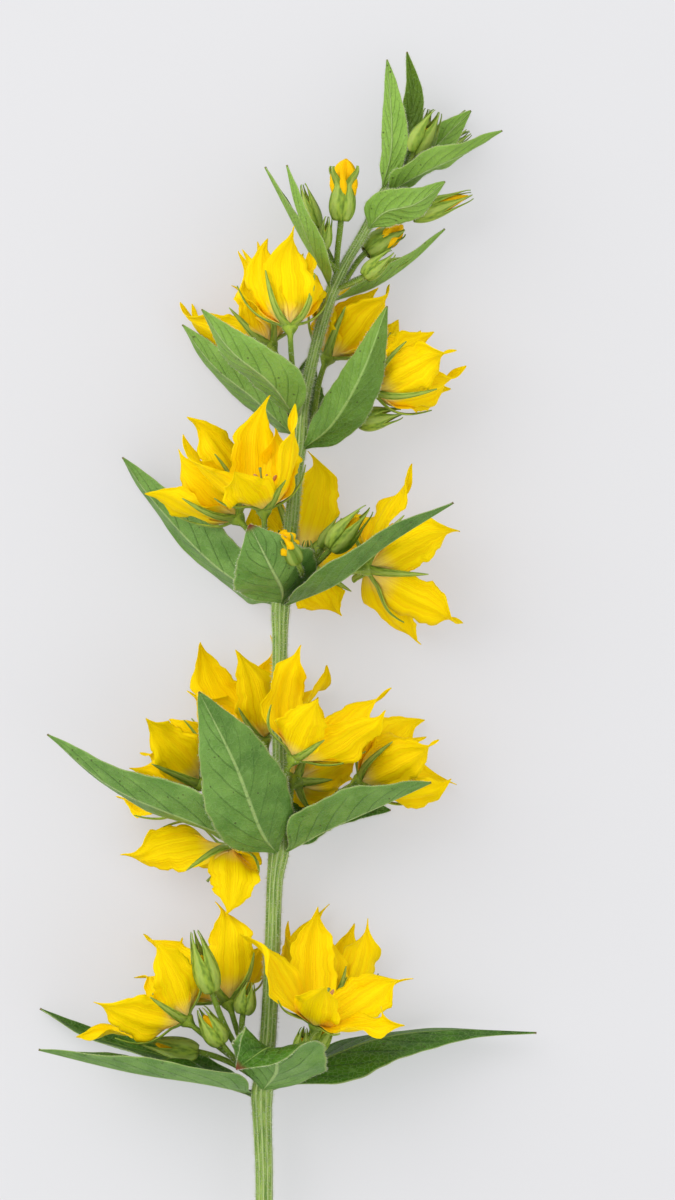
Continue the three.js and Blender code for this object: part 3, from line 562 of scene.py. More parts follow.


# Rows 2_front, 3_right and 4_right carry painted shade on the halves of their blades.
LEAVES = table("name at azimuth width fold facing via tip", [
    ("1_left_front", 1094, 176, 14.5, 27, (0, 0), [[205, 1082, 16.5], [134, 1071, 17.5]], [39, 1049, 15]),
    ("1_left_back", 1098, 218, 13, 12, (15, 15), [[180, 1064, 2], [92, 1039, 1.5]], [39, 1010, 1]),
    ("1_front", 1090, 86, 18, 20, (-90, -90),
     [[277, 1068, 20], [270, 1046, 28]], [237, 1066, 33], dict(rust=1, across=[1, -0.2, 0])),
    ("1_right", 1088, -15, 15, -15, (150, 165),
     [[318, 1064, 8], [381, 1040, 6], [450, 1032, 5]], [537, 1034, 4], dict(drawn=0.5)),
    ("2_left", 852, 140, 15, 20, (-29, -25), [[196, 822, 18.5], [113, 786, 20]], [48, 734, 18]),
    ("2_front", 852, 100, 15.5, 16, (-90, -90),
     [[262, 832, 20], [235, 762, 28]], [200, 691, 33], dict(deep=(0.1, 0.42))),
    ("2_right", 850, 40, 18, 25, (195, 195), [[325, 830, 15], [385, 803, 17.5]], [431, 782, 17]),
    ("2_back_right", 846, -50, 8, 10, (110, 100), [[318, 812, 2.5], [352, 808, 1]], [391, 811, 1]),
    ("3_left", 604, 195, 14, 21, (-34, -34), [[212, 562, 6.5], [151, 497, 5.5]], [122, 457, 6]),
    ("3_front", 602, 90, 15.5, 15, (-90, -90),
     [[282, 589, 19], [272, 569, 26]], [250, 525, 32], dict(rust=1)),
    ("3_right", 605, 60, 13, 25, (187, 187),
     [[338, 582, 21], [386, 545, 24]], [453, 503, 24], dict(deep=(0.4, 0.4))),
    ("4_left_upper", 418, 140, 11.5, 19, (-41, -41), [[271, 383, 18], [232, 351, 19]], [202, 310, 18]),
    ("4_left_lower", 434, 205, 11, 18, (-35, -35), [[252, 396, 7.5], [215, 366, 6]], [182, 324, 5]),
    ("4_right", 448, 40, 10.5, 40, (-85, -85),
     [[332, 425, 17.5], [362, 374, 22]], [387, 307, 22], dict(deep=(0.35, 0.65))),
    ("4_back", 440, 290, 7, 8, (90, 90), [[306, 405, 5], [306, 380, 3]], [312, 352, 2]),
    ("5_left_back", 284, 215, 7.5, 20, (0, 0), [[306, 244, 6], [284, 203, 5]], [265, 166, 5]),
    ("5_left_front", 288, 130, 7.5, 25, (-10, -10), [[314, 251, 16], [296, 205, 18]], [287, 166, 18]),
    ("5_right", 298, -30, 7.5, 25, (187, 187), [[375, 285, 6.5], [413, 259, 5]], [445, 228, 4]),
    ("6_right", 228, 60, 7.5, 12, (250, 230), [[385, 212, 14], [415, 204, 15]], [445, 182, 15]),
    ("7_left", 190, 140, 5.6, 15, (-55, -55), [[392, 150, 13], [391, 100, 14]], [387, 60, 14]),
    ("7_back", 180, 235, 4.6, 25, (90, 90), [[407, 134, 6.5], [414, 92, 6]], [407, 51, 7]),
    ("7_middle", 172, -60, 6.5, 8, (252, 245), [[426, 155, 7], [449, 132, 8]], [471, 110, 8]),
    ("7_right", 192, 40, 8, 20, (215, 200),
     [[426, 171, 15], [465, 153, 16]], [502, 131, 14], dict(wavy=2.5)),
])
print("leaves:", len(LEAVES))

# %% The directions and the relief of a leaf
SUNK = 0.25 * MM  # how far a leaf's base reaches into the stem
WAVES = 2.6


def leaf_axes(leaf, s):
    """The midrib, and at each of its points two directions square to it: the blade's side, and its
    upper face, which is level * cos facing + raised * sin facing."""
    centre, ahead, radius = stem_at(leaf["at"])
    base = centre + outward(ahead, leaf["azimuth"]) * (radius - SUNK)
    tip = at_photo(leaf["tip"])
    line = smooth_line([base, *at_photo(leaf["via"]), tip], len(s))
    along = unit(np.gradient(line, axis=0))
    growth = tip - base
    right = np.array(leaf.get("across", [growth[1], -growth[0], 0]), float)
    level = unit(right - dot(right, along) * along)
    raised = np.cross(level, along)
    facing = np.radians(np.interp(s, [0, 1], leaf["facing"]))[:, None]
    upper = level * np.cos(facing) + raised * np.sin(facing)
    return line, np.cross(upper, along), upper


def leaf_relief(leaf, half, opening, s, v, chance):
    """Height over the midrib: out * sin(fold) less an arch, and waves that grow towards the edge."""
    out = np.sqrt(v**2 + 0.006) - 0.077
    lift = half * (out * np.sin(opening) - 0.10 * out * (1 - out))
    waves = np.sin(2 * np.pi * (WAVES * s + chance.uniform(0, 1) + 0.25 * v))
    return lift + 0.055 * leaf.get("wavy", 1) * half * waves * np.abs(v)**2.5


def quilting(s, v):
    """The swellings between side veins, |sin(pi * slant)|, on the same slanting lines as the finish."""
    slant = VEINS * (s - 0.75 * (0.5 * np.abs(v))**1.15)
    return np.abs(np.sin(np.pi * slant)) * np.sin(np.pi * np.clip(np.abs(v), 0, 1))


print("waves along a leaf:", WAVES, "and side veins to a side:", VEINS)

# %% Make the leaves
LEAF_THICK = 0.26 * MM
MIDRIB_THICK = 0.5 * MM
QUILT = 0.26 * MM


def leaf_shape(leaf, seed, rows=78, columns=27):
    """Midrib + across * side + lift * upper, where the lift is the relief and the quilting."""
    chance = np.random.default_rng(seed)
    s = np.linspace(0, 1, rows)
    v = np.linspace(-1, 1, columns)
    line, side, upper = leaf_axes(leaf, s)
    outline = np.sin(np.pi * s**0.76)**0.95 + 0.1 * (1 - s)**4
    outline = outline * (1 - leaf.get("drawn", 0) * ease(s, 0.4, 0.85)) * (0.3 + 0.7 * ease(s, 0, 0.18))
    jag = 1 + 0.025 * np.sin(23 * s + chance.uniform(0, 6)) + 0.015 * np.sin(61 * s + 1)
    half = (leaf["width"] / 2 * outline * jag + 0.12) * MM
    opening = np.radians(leaf["fold"]) * np.minimum(1, 5 * s)
    down, over = s[:, None], v[None]
    lift = leaf_relief(leaf, half[:, None], opening[:, None], down, over, chance)
    lift = lift + QUILT * quilting(down, over) * outline[:, None]
    wide = half * np.cos(opening)
    middle = rested(line[:, None] + side[:, None] * (over[..., None] * wide[:, None, None])
                    + upper[:, None] * lift[..., None])
    midrib = np.exp(-(over / 0.07)**2) * (1 - 0.7 * down)
    thick = LEAF_THICK * (1 - 0.6 * np.abs(over)**6) * np.ones((rows, 1)) + MIDRIB_THICK * midrib
    rust = leaf.get("rust", 0) * ease(down, 0.93, 0.99) + 0.8 * ease(down, 0.985, 1)
    tone = np.broadcast_to(np.clip(rust, 0, 1), (rows, columns))
    shape = blade(middle, thick, grid_uv(0.5 + 0.5 * v, s), tone)
    # Painted shade: on a leaf that shows its underside, the skin attribute is raised on the halves that lie
    # in shade, so the finish mixes in the upper side's dark green there.
    deep = np.broadcast_to(np.interp(v, [-0.1, 0.1], leaf.get("deep", (0, 0))), (rows, columns))
    shape["skin"] = np.maximum(shape["skin"], np.tile(deep.ravel(), 2))
    return shape, middle, side


leaf_edges = []
for number, leaf in enumerate(LEAVES):
    shape, middle, side = leaf_shape(leaf, 100 + number)
    make_piece("leaf_blade_" + leaf["name"], [shape], LEAF_GREEN, "leaf_" + leaf["name"])
    leaf_edges.append((middle[:, 0], -side))
    leaf_edges.append((middle[:, -1], side))
print("leaf faces:", len(LEAVES) * len(shape["quads"]))

# %% [markdown]
# ## Flowers
#
# Each flower has five petals that are joined at the foot. They leave it a fifth of a turn apart and
# bend to their own tips. A petal is a surface over a Bezier curve, and all five are computed in one
# array. One petal copied five times would be simpler, but here every tip has a place of its own.
# Real petals are a little untidy: their edges wave, their tips twist, and one edge of each lies over
# its neighbour. The same few lines of arithmetic add this, with other numbers each time.
#
# A petal can also be rolled about its own length. `flat` says how far each one is rolled until it
# lies broad side up: 0 leaves it as it grew from the ring, 1 lays it flat, and below 0 it stands
# more on its edge. A tip of None leaves a hidden petal where the ring puts it. `calm` quiets a
# petal's twist, `sepals` and `stamens` shorten those of one flower.

# %% Where each flower opens
PETAL_LENGTH = 18.5
PETAL_WIDTH = 8.6
PETAL_OPENING = np.radians(33)
SEPAL_ROOM = 2.2

FLOWERS = table("name axil foot axis tips flat", [
    ("1_left", "1_left", [186, 1019, 15], [-0.73, 0.68, 0],
     [[79, 1025, 11], [98, 997, 24], [156, 940, 25], [168, 950, 15], [143, 966, 5]],
     [0, 0.7, 0.5, 0.3, 0.5]),
    ("1_middle", "1_left", [229, 1003, 9], [-0.24, 0.87, -0.3],
     [[226, 898, 13], [262, 942, 5], None, None, [153, 926, 4]],
     [0.7, 0.3, 0, 0, 0.7]),
    ("1_right_front", "1_right", [316, 1023, 18], [0.37, 0.85, 0.38],
     [[258, 926, 22], [325, 980, 34], [400, 1013, 28], [401, 966, 15], [318, 906, 13]],
     [0.3, 0.6, 0.2, 0.6, 0.6], dict(calm=[1, 0.3, 1, 1, 1])),
    ("1_right_back", "1_right", [322, 1014, 8], [0.05, 1, -0.15],
     [[283, 922, 6], [328, 930, 11], [366, 919, 7], [345, 925, 2], [311, 901, 2]],
     [0.3, 0.5, 0.7, 0.3, 0.7]),
    ("2_left", "2_left", [199, 784, 9], [-0.86, 0.5, -0.13],
     [[172, 715, 8], [143, 746, 2], [114, 800, 3], [135, 760, 12], [143, 722, 17]],
     [0.6, 0.5, 0.5, 0.6, 0.5]),
    ("2_low", "2_left", [232, 848, 7], [-0.5, -0.8, 0.1],
     [[126, 862, 9], [160, 860, 1], [236, 885, 2], [262, 864, 9], [229, 913, 15]],
     [0.8, 0.5, 0.5, 0.3, 0.8], dict(stamens=0.55)),
    ("2_upper_left", "2_left", [264, 738, 5], [-0.23, 0.94, 0.15],
     [[194, 641, 4], [191, 688, 10], [246, 647, 12], [331, 668, 3], [271, 636, 3]],
     [0.9, 0.6, 0.3, 0.1, 0.4]),
    ("2_front", "2_front", [294, 757, 20], [0.57, 0.82, 0.06],
     [[299, 643, 20], [316, 700, 34], [384, 706, 27], [381, 680, 18], [321, 697, 9]],
     [0.6, 0.7, 0.3, 0.5, 0.5], dict(calm=[1, 0.3, 1, 1, 1])),
    ("2_under", "2_right", [296, 782, 8.5], [0.5, 0.25, -0.83],
     [[362, 753, 4], [352, 779, 3], [326, 792, 2.5], [302, 770, 2], [332, 736, 3]],
     [0.7, 0.5, 0.5, 0.5, 0.4], dict(sepals=0.6)),
    ("2_right", "2_right", [360, 781, 10], [0.9, 0.44, 0],
     [[424, 717, 4], [428, 736, 12], [440, 742, 18], [453, 783, 13], None],
     [0.3, 0.3, 0.6, 0.3, 0.3]),
    ("3_left_front", "3_left", [264, 510, 21], [-0.03, 1, 0.07],
     [[179, 438, 23], [236, 474, 36], [292, 405, 24], [281, 428, 16], [255, 394, 17]],
     [0.2, 0.6, 0, 0.3, 0.7], dict(calm=[1, 0.15, 1, 1, 1])),
    ("3_left_back", "3_left", [237, 518, 12.6], [-0.7, 0.65, -0.2],
     [[151, 485, 17], [172, 455, 16.5], [190, 417, 12], [226, 440, 8], [180, 470, 10]],
     [-0.4, 0.3, 0.4, 0.4, 0.2]),
    ("3_behind", "3_back", [300, 560, 6], [0.1, 0.1, -1],
     [[327, 455, 4], [372, 540, 3], [336, 618, 3], [258, 590, 3], [252, 500, 3]],
     [0.6, 0.6, 0.6, 0.6, 0.6]),
    ("3_right", "3_right", [367, 568, 13], [0.87, 0.29, -0.4],
     [[414, 475, 9], [458, 520, 16], [467, 618, 12], [416, 644, 4], [375, 513, 3]],
     [0.1, 0.7, 0.6, 0.5, 0.4]),
    ("4_left_front", "4_left", [290, 327, 19], [-0.04, 0.98, -0.15],
     [[284, 224, 23], [310, 252, 18], [300, 250, 8], None, [259, 241, 18]],
     [0.6, 0.2, 0.4, 0.2, 0.4]),
    ("4_left_back", "4_left", [270, 345, 7], [-0.58, 0.8, -0.3],
     [[174, 306, 5], [232, 262, 3], [249, 248, 6], None, None],
     [0.4, 0.3, 0.8, 0.3, 0.3]),
    ("4_right_back", "4_right", [328, 357, 5], [0.46, 0.88, -0.1],
     [[346, 272, 2], [326, 284, 7], [388, 281, 10], [400, 318, 3], [368, 282, 1]],
     [0.1, 0.1, 0.5, 0.2, 0.1]),
    ("4_right_front", "4_right", [372, 391, 14], [0.85, 0.46, -0.26],
     [[421, 338, 4], [432, 336, 13], [454, 346, 19], [467, 372, 12], [446, 380, 4]],
     [0.4, 0.3, 0.6, 0.3, 0.3]),
])
print("flowers:", len(FLOWERS))

# %% The lines of a flower's five petals
def petal_lines(flower):
    """The foot, the axis, and for each petal its starting direction, its lean and its Bezier points.

    The starting directions are a fifth of a turn apart, turned together to the circular mean of
    what the given tips ask for."""
    foot = at_photo(flower["foot"])
    axis = unit(np.array(flower["axis"], float))
    start = unit(np.cross([1, 0, 0], axis))
    quarter = np.cross(axis, start)
    steps = 2 * np.pi / 5 * np.arange(5)
    given = np.array([tip is not None for tip in flower["tips"]])
    tips = np.array([at_photo(tip or [0, 0, 0]) for tip in flower["tips"]])
    wanted = np.arctan2((tips - foot) @ quarter, (tips - foot) @ start) - steps
    offset = np.angle(np.sum(np.exp(1j * wanted[given])))
    turn = (offset + steps)[:, None]
    radial = start * np.cos(turn) + quarter * np.sin(turn)
    usual = foot + PETAL_LENGTH * MM * (axis * np.cos(PETAL_OPENING) + radial * np.sin(PETAL_OPENING))
    tips = np.where(given[:, None], tips, usual)
    reach = tips - foot
    length = np.linalg.norm(reach, axis=1, keepdims=True)
    lean = unit(reach - dot(reach, axis) * axis)
    controls = (foot + 0 * tips, foot + 0.3 * length * radial + 0.06 * length * axis,
                foot + 0.66 * reach + 0.14 * length * lean, tips)
    return dict(foot=foot, axis=axis, radial=radial, lean=lean, length=length[:, 0], controls=controls,
                flat=np.array(flower["flat"]))


def petal_grid(lines, s, v, extra=None):
    """Five petals at once: line(s) + half width * v * across, cupped inwards by the square of v."""
    five = [c[:, None] for c in lines["controls"]]
    t = s[None, :, None]
    centre = bezier(five, t)
    step = 1e-4
    ahead = unit(bezier(five, t + step) - bezier(five, t - step))
    outwards = lines["radial"][:, None] * (1 - t) + lines["lean"][:, None] * t
    across = unit(np.cross(lines["axis"], outwards))
    level = unit(np.cross([0, 0, 1], ahead))
    level = level * np.where(dot(level, across)[:, len(s) // 2, None] < 0, -1, 1)
    across = unit(across + (level - across) * lines["flat"][:, None, None] * ease(t, 0.05, 0.5))
    normal = unit(np.cross(across, ahead))
    outline = np.sin(np.pi * np.clip(s, 0, 1)**0.82)**0.85 + 0.04
    half = 0.5 * PETAL_WIDTH * MM * outline[None, :, None]
    v = v[None, None, :]
    inwards = 0.34 * (1 - 0.6 * s[None, :, None]) * half * v**2
    aside = half * v
    if extra:
        aside, inwards, across, normal = extra(half, inwards, across, normal, s[None, :, None], v)
    points = (centre[:, :, None] + across[:, :, None] * aside[..., None]
              - normal[:, :, None] * inwards[..., None])
    lowest = TABLE + SEPAL_ROOM * MM * (1 - s[None, :, None])
    return rested(points, lowest)


print("petal width at its widest (mm):", PETAL_WIDTH)

# %% Make the corollas
def untidy(chance, length, calm):
    """What makes each petal its own: a narrow tip that twists, hooks and curls, ragged and wavy
    edges that differ left and right, and one edge that lies over the next petal. `calm` holds a
    number for each petal that scales the twist, hook and curl down."""
    tall = (5, 1, 1)
    calm = np.array(calm, float).reshape(tall)
    twist = calm * chance.uniform(0.5, 2.2, tall) * chance.choice([-1, 1], tall)
    curl = calm * chance.uniform(-0.8, 1.2, tall)
    hook = calm * chance.uniform(-1.3, 1.3, tall)
    phase = chance.uniform(0, 2 * np.pi, tall)
    rate = chance.uniform(1.3, 2.3, tall)

    def extra(half, inwards, across, normal, s, v):
        """Half width to sideways shift, and the cupping, the direction across and the normal turned."""
        far = length[:, None, None] * np.clip(s - 0.6, 0, 1)**2
        edge = phase + 1.3 * np.sign(v)
        ragged = 0.07 * np.sin(17 * s + edge) + 0.06 * np.sin(41 * s + 2 * edge)
        ragged = ragged + 0.03 * np.sin(83 * s + edge)
        half = half * (1 - 0.5 * ease(s, 0.70, 0.95)) * (1 + ragged * ease(s, 0.3, 0.55))
        waves = np.sin(2 * np.pi * rate * s + edge)
        inwards = inwards + 0.27 * half * waves * np.abs(v)**2 * ease(s, 0.15, 0.5)
        inwards = inwards + 0.07 * half * np.sin(2.6 * np.pi * v + 2 * phase) * ease(s, 0.1, 0.4)
        inwards = inwards - 0.28 * MM * v * (1 - s)**2 - 0.05 * half * np.cos(2 * np.pi * v) * (1 - s)
        inwards = inwards - 1.0 * curl * far
        angle = twist * ease(s, 0.62, 1.0)
        turned = across * np.cos(angle) + normal * np.sin(angle)
        normal = normal * np.cos(angle) - across * np.sin(angle)
        return half * v + 0.75 * hook * far, inwards, turned, normal

    return extra


PETAL_THICK = 0.16 * MM


def corolla_shapes(flower, seed, rows=44, columns=17):
    """Five closed blades, a little thinner towards their edges."""
    lines = petal_lines(flower)
    chance = np.random.default_rng(seed)
    s = 0.02 + 0.98 * np.linspace(0, 1, rows)
    v = np.linspace(1, -1, columns)
    untidily = untidy(chance, lines["length"], flower.get("calm", [1] * 5))
    grid = petal_grid(lines, s, v, untidily)
    thick = PETAL_THICK * (1 - 0.5 * np.abs(v[None])**4) * np.ones((rows, 1))
    # A whole number added to the uv gives each petal lines of its own.
    return [blade(grid[k], thick, grid_uv(0.5 + 0.5 * v + k, s), np.zeros((rows, columns)))
            for k in range(5)]


for number, flower in enumerate(FLOWERS):
    shapes = corolla_shapes(flower, 300 + number)
    make_piece("petals_" + flower["name"], shapes, PETAL_YELLOW, "corolla_" + flower["name"])
print("petal faces:", len(FLOWERS) * 5 * len(shapes[0]["quads"]))

# %% [markdown]
# ## Stamens and styles
#
# Inside each flower stand five stamens, joined at the foot, each a thin filament with a brown
# anther, and one green style. They are short tubes rather than cylinders, so that they can lean and
# bend outwards. An anther is a tube whose radius swells and shrinks like a half circle:
# radius = r * sqrt(1 - (2s - 1)^2).

# %% Make the stamens and styles
FILAMENT_LIFT = 1.2 * MM
ANTHER_HALF, ANTHER_RADIUS = 0.75 * MM, 0.33 * MM
STYLE_LENGTH = 7.6 * MM

filaments, anthers, styles = [], [], []
for number, flower in enumerate(FLOWERS):
    lines = petal_lines(flower)
    chance = np.random.default_rng(500 + number)
    foot, axis = lines["foot"], lines["axis"]
    between = unit(lines["radial"] + np.roll(lines["radial"], -1, axis=0))
    s = np.linspace(0, 1, 9)[:, None]
    for direction in between:
        lean = 0.30 + chance.uniform(-0.08, 0.12)
        tall = chance.uniform(4.7, 6.1) * flower.get("stamens", 1) * MM
        line = foot + axis * tall * s + direction * tall * lean * (0.35 + 0.65 * s) * ease(s, -0.1, 0.5)
        line = rested(line, FILAMENT_LIFT)
        filaments.append(tube(line, np.linspace(0.34, 0.16, 9) * MM, 7))
        way = unit(axis + 0.9 * direction * chance.uniform(0.3, 1.2) + chance.uniform(-0.3, 0.3, 3))
        along = np.linspace(-1, 1, 9)
        body = line[-1] + way * along[:, None] * ANTHER_HALF
        anthers.append(tube(rested(body, THIN_LIFT), ANTHER_RADIUS * np.sqrt(1.04 - along**2), 9))
    line = rested(foot + axis * STYLE_LENGTH * s + between[0] * 0.6 * MM * s**2, FILAMENT_LIFT)
    styles.append(tube(line, np.interp(s[:, 0], [0, 0.9, 1], [0.22, 0.18, 0.3]) * MM, 7))
make_piece("filaments", filaments, FILAMENT_YELLOW)
make_piece("anthers", anthers, ANTHER_BROWN)
make_piece("styles", styles, STYLE_GREEN)
print("stamens:", len(anthers))

# %% [markdown]
# ## Stalks, cups and sepals
#
# Under each flower five narrow green sepals hold the corolla. They lie outside the gaps between
# petals, so their line is the mean of the two petals' lines, pushed out until it clears both. The
# stalk is a tube that widens into the cup at its end. Its line is a Bezier curve, because that can
# leave the stem in one given direction and reach the flower in another. Everything green that shares
# an axil is one piece, as it is one grown cluster on the plant.
#
# A bud is the same thing closed: five sepals wrapped round a spindle of rolled petals.

# %% Where the clusters leave the stem, and the buds
# For each axil, the row of the photograph and the azimuth at which its cluster leaves the stem
AXILS = {
    "1_left": (1080, 170), "1_right": (1074, 10), "2_left": (838, 185), "2_front": (834, 85),
    "2_right": (838, 0), "3_left": (590, 155), "3_back": (588, 280), "3_right": (586, 0),
    "4_left": (402, 150), "4_right": (436, -10), "5_left": (275, 150), "5_right": (288, 30),
    "6_right": (218, 0), "7_right": (174, 60),
}

# Buds: foot and tip, widest radius, how far the rolled petals reach past the sepals' middle, and for
# some how far the sepals stand open, how withered the petals are, and how dark the green is.
BUDS = table("axil foot tip radius petals", [
    ("1_left", [212, 990, 19], [195, 930, 22], 2.3, 0.0),
    ("1_left", [222, 1043, 16], [200, 1008, 17], 2.2, 0.22),
    ("1_left", [198, 1052, 9], [142, 1042, 9], 2.0, 0.16),
    ("1_left", [243, 1014, 13], [250, 982, 13], 1.9, 0.0),
    ("1_right", [312, 1050, 12], [333, 1022, 11], 1.9, 0.16),
    ("1_right", [300, 1052, 16], [304, 1027, 18], 1.4, 0.0),
    ("3_right", [331, 549, 18], [368, 508, 20], 2.4, 0.16),
    ("3_right", [322, 549, 14], [341, 518, 14], 1.5, 0.0, dict(dark=0.7)),
    ("3_right", [308, 572, 16], [308, 541, 17], 1.7, 0.0, dict(dark=1)),
    ("4_right", [358, 422, 11], [402, 413, 10], 2.0, 0.0),
    ("5_left", [341, 221, 13], [346, 160, 13], 2.3, 0.42, dict(open=1)),
    ("5_left", [317, 228, 10], [303, 184, 9], 1.5, 0.0, dict(dark=0.3)),
    ("5_left", [322, 250, 14], [328, 217, 14], 1.4, 0.0),
    ("5_right", [366, 252, 7], [404, 224, 5], 2.2, 0.38, dict(open=0.7, dark=0.3)),
    ("5_right", [364, 277, 13], [393, 252, 13], 1.6, 0.0),
    ("6_right", [412, 216, 10], [472, 194, 9], 1.9, 0.34),
    ("7_right", [414, 154, 13], [438, 112, 13], 2.4, 0.0, dict(dark=0.5)),
    ("7_right", [418, 142, 5], [428, 108, 5], 1.5, 0.0, dict(dark=0.4)),
    ("7_right", [432, 150, 5], [466, 128, 3], 1.5, 0.0),
    ("7_right", [440, 140, 3], [467, 110, 3], 1.1, 0.0, dict(dark=1)),
    ("7_right", [444, 147, 3], [471, 132, 3], 1.2, 0.0, dict(dark=1)),
    ("5_right", [378, 270, 6], [408, 258, 6], 1.2, 0.0),
    ("3_right", [297, 562, 24], [281, 532, 28], 1.7, 0.4, dict(open=1, withered=1, dark=1)),
])
print("clusters:", len(AXILS), "buds:", len(BUDS))

# %% Shapes of stalk, cup, sepal and bud
STALK_RADIUS = 0.5
CUP_RADIUS = 1.55
SEPAL_LENGTH = 11.0
SEPAL_THICK = 0.2 * MM
BUD_THICK = 0.16 * MM
# The centre line of a tube is kept this far above the table, so that its skin stays above it.
STALK_LIFT = 1.3 * MM


def stalk_line(axil, end, axis, count=30):
    """A Bezier curve from inside the stem to an end point, arriving along the axis."""
    row, azimuth = AXILS[axil]
    centre, ahead, radius = stem_at(row)
    radial = outward(ahead, azimuth)
    start = centre + radial * radius * 0.6
    span = np.linalg.norm(end - start)
    towards = unit(unit(end - start) + unit(ahead + radial))
    points = (start, start + towards * 0.32 * span, end - axis * 0.4 * span, end)
    return bezier(points, np.linspace(0, 1, count)[:, None])


def stalk_and_cup(flower, lines):
    """A tube whose radius is the stalk's and, over the last two millimetres, eases to the cup's."""
    rim = lines["foot"] + lines["axis"] * 0.25 * MM
    line = stalk_line(flower["axil"], rim, lines["axis"])
    left = np.linalg.norm(line - rim, axis=1) / MM
    radii = STALK_RADIUS + (CUP_RADIUS - STALK_RADIUS) * (1 - ease(left, 0.3, 2.2))
    return tube(rested(line, STALK_LIFT), radii * MM, 12, tone=0.75 * ease(left, 0.5, 4.0))


def sepal_blades(lines, long=1, rows=20, columns=7):
    """Five narrow blades outside the gaps: the petals' mean line, moved out past both their edges."""
    roll = {key: np.roll(lines[key], -1, axis=0) for key in ("radial", "lean", "length", "flat")}
    after = dict(lines, controls=[np.roll(c, -1, axis=0) for c in lines["controls"]], **roll)
    mean = 0.5 * (lines["length"] + after["length"]).mean()
    s = np.linspace(0.1, 1, rows)
    share = s * long * min(SEPAL_LENGTH * MM / mean, 0.8)
    one = petal_grid(lines, share, np.array([0.0, 1.0]))
    two = petal_grid(after, share, np.array([0.0, -1.0]))
    foot, axis = lines["foot"], lines["axis"]
    between = unit(lines["radial"] + after["radial"])[:, None]
    across = np.cross(axis, between)
    a, b = one[:, :, 0] - foot, two[:, :, 0] - foot
    out = 0.5 * (dot(a, lines["radial"][:, None]) + dot(b, after["radial"][:, None]))
    centre = foot + axis * 0.5 * (dot(a, axis) + dot(b, axis)) + between * out
    ahead = unit(np.gradient(centre, axis=1))
    back = unit(np.cross(np.broadcast_to(across, centre.shape), ahead))
    edges = np.maximum(dot(one[:, :, 1], back), dot(two[:, :, 1], back))
    push = np.maximum(edges - dot(centre, back), 0) + 0.45 * MM
    centre = centre + back * (push + 0.5 * MM * s[None, :, None]**3)
    v = np.linspace(-1, 1, columns)
    half = (0.88 * (1 - s**1.7)**0.85 + 0.05) * MM
    shapes = []
    for k in range(5):
        wide = across[k, 0][None, None] * (v[None, :, None] * half[:, None, None])
        keel = back[k][:, None] * (-0.35 * half[:, None] * np.abs(v)[None])[..., None]
        middle = rested(centre[k][:, None] + wide + keel, TABLE)
        tone = np.broadcast_to(0.35 * ease(s, 0.8, 1.0)[:, None], (rows, columns))
        thick = np.full((rows, columns), SEPAL_THICK)
        shapes.append(blade(middle, thick, grid_uv(0.5 * np.abs(v), s), tone))
    return shapes


def rolled_petals(bud, foot, span):
    """The yellow spindle inside a bud: radius * (1 + 0.12 cos(5 turn + 3 s)), with deeper folds that
    wind further in an opening bud, and crumpled in a withered one."""
    opened, withered = bud.get("open", 0), bud.get("withered", 0)
    s = np.linspace(0, 1, 18)
    core = foot + span * (0.05 + (0.55 + bud["petals"]) * s)[:, None]
    full = 0.88 if bud["petals"] else 0.7
    size = full * np.sin(np.pi * (0.1 + 0.9 * s)**(0.7 + 0.9 * opened))**0.7
    size = size * (1 - 0.3 * (1 - opened) * s) + 0.05

    def folded(turn):
        """The share of the radius that the folds and the crumples add."""
        folds = np.cos(5 * turn + (3 + 4 * opened) * s[:, None])
        crumples = np.cos(2 * turn - 13 * s[:, None])
        return (0.12 + 0.16 * opened + 0.1 * withered) * folds + 0.3 * withered * crumples

    return tube(rested(core, THIN_LIFT), bud["radius"] * MM * size, 25, folded)


def bud_shapes(bud, seed):
    """The stalk and five sepals wrapped on a spindle, each a little wider than a fifth of its ring
    and free near the tip; and apart from these, the rolled petals inside."""
    chance = np.random.default_rng(seed)
    foot, tip = at_photo(bud["foot"]), at_photo(bud["tip"])
    axis = unit(tip - foot)
    long = np.linalg.norm(tip - foot)
    stalk = stalk_line(bud["axil"], foot + axis * 0.1 * long, axis, 24)
    radii = np.linspace(STALK_RADIUS, 1.1 * STALK_RADIUS, 24) * MM
    green = [tube(rested(stalk, THIN_LIFT), radii, 10, tone=np.full(24, 0.8))]
    opened = bud.get("open", 0)
    s = np.linspace(0, 1, 22)
    v = np.linspace(-1, 1, 9)
    first = unit(np.cross(axis, [0.3, 0.2, 0.9]))
    second = np.cross(axis, first)
    profile = np.sin(np.pi * (0.06 + 0.94 * s)**0.7)**0.8 * (1 - 0.25 * s) + 0.04 + 0.16 * s**3
    for k in range(5):
        spread = (chance.uniform(0.0, 0.5) + opened * chance.uniform(0.5, 2.4)) * ease(s, 0.6, 1.0)
        reach = long * (1 - opened * chance.uniform(0.05, 0.2)) * s
        wrap = 1.12 if bud["petals"] else 1.3
        share = wrap * np.clip(1.02 - ease(s, 0.25 + 0.2 * opened, 1.05), 0.0, 1) + 0.03
        turn = 2 * np.pi / 5 * k + np.pi / 5 * share[:, None] * v[None]
        keel = 1 + 0.1 * (1 - np.abs(v)[None]) + (0.03 * k if k % 2 else 0)
        radius = bud["radius"] * MM * ((profile + spread * 0.5)[:, None] * keel)
        ring = circle(first, second, turn)
        middle = rested(foot + axis * reach[:, None, None] + ring * radius[..., None], TABLE)
        dark = 0.25 + 0.7 * bud.get("dark", 0) + 0.5 * ease(s, 0.75, 1.0)
        tone = np.broadcast_to(np.minimum(dark, 1.0)[:, None], middle.shape[:2])
        thick = np.full(middle.shape[:2], BUD_THICK)
        green.append(blade(middle, thick, grid_uv(0.5 * np.abs(v), s), tone))
    return green, rolled_petals(bud, foot, axis * long)


print("a sepal is", SEPAL_LENGTH, "mm long")

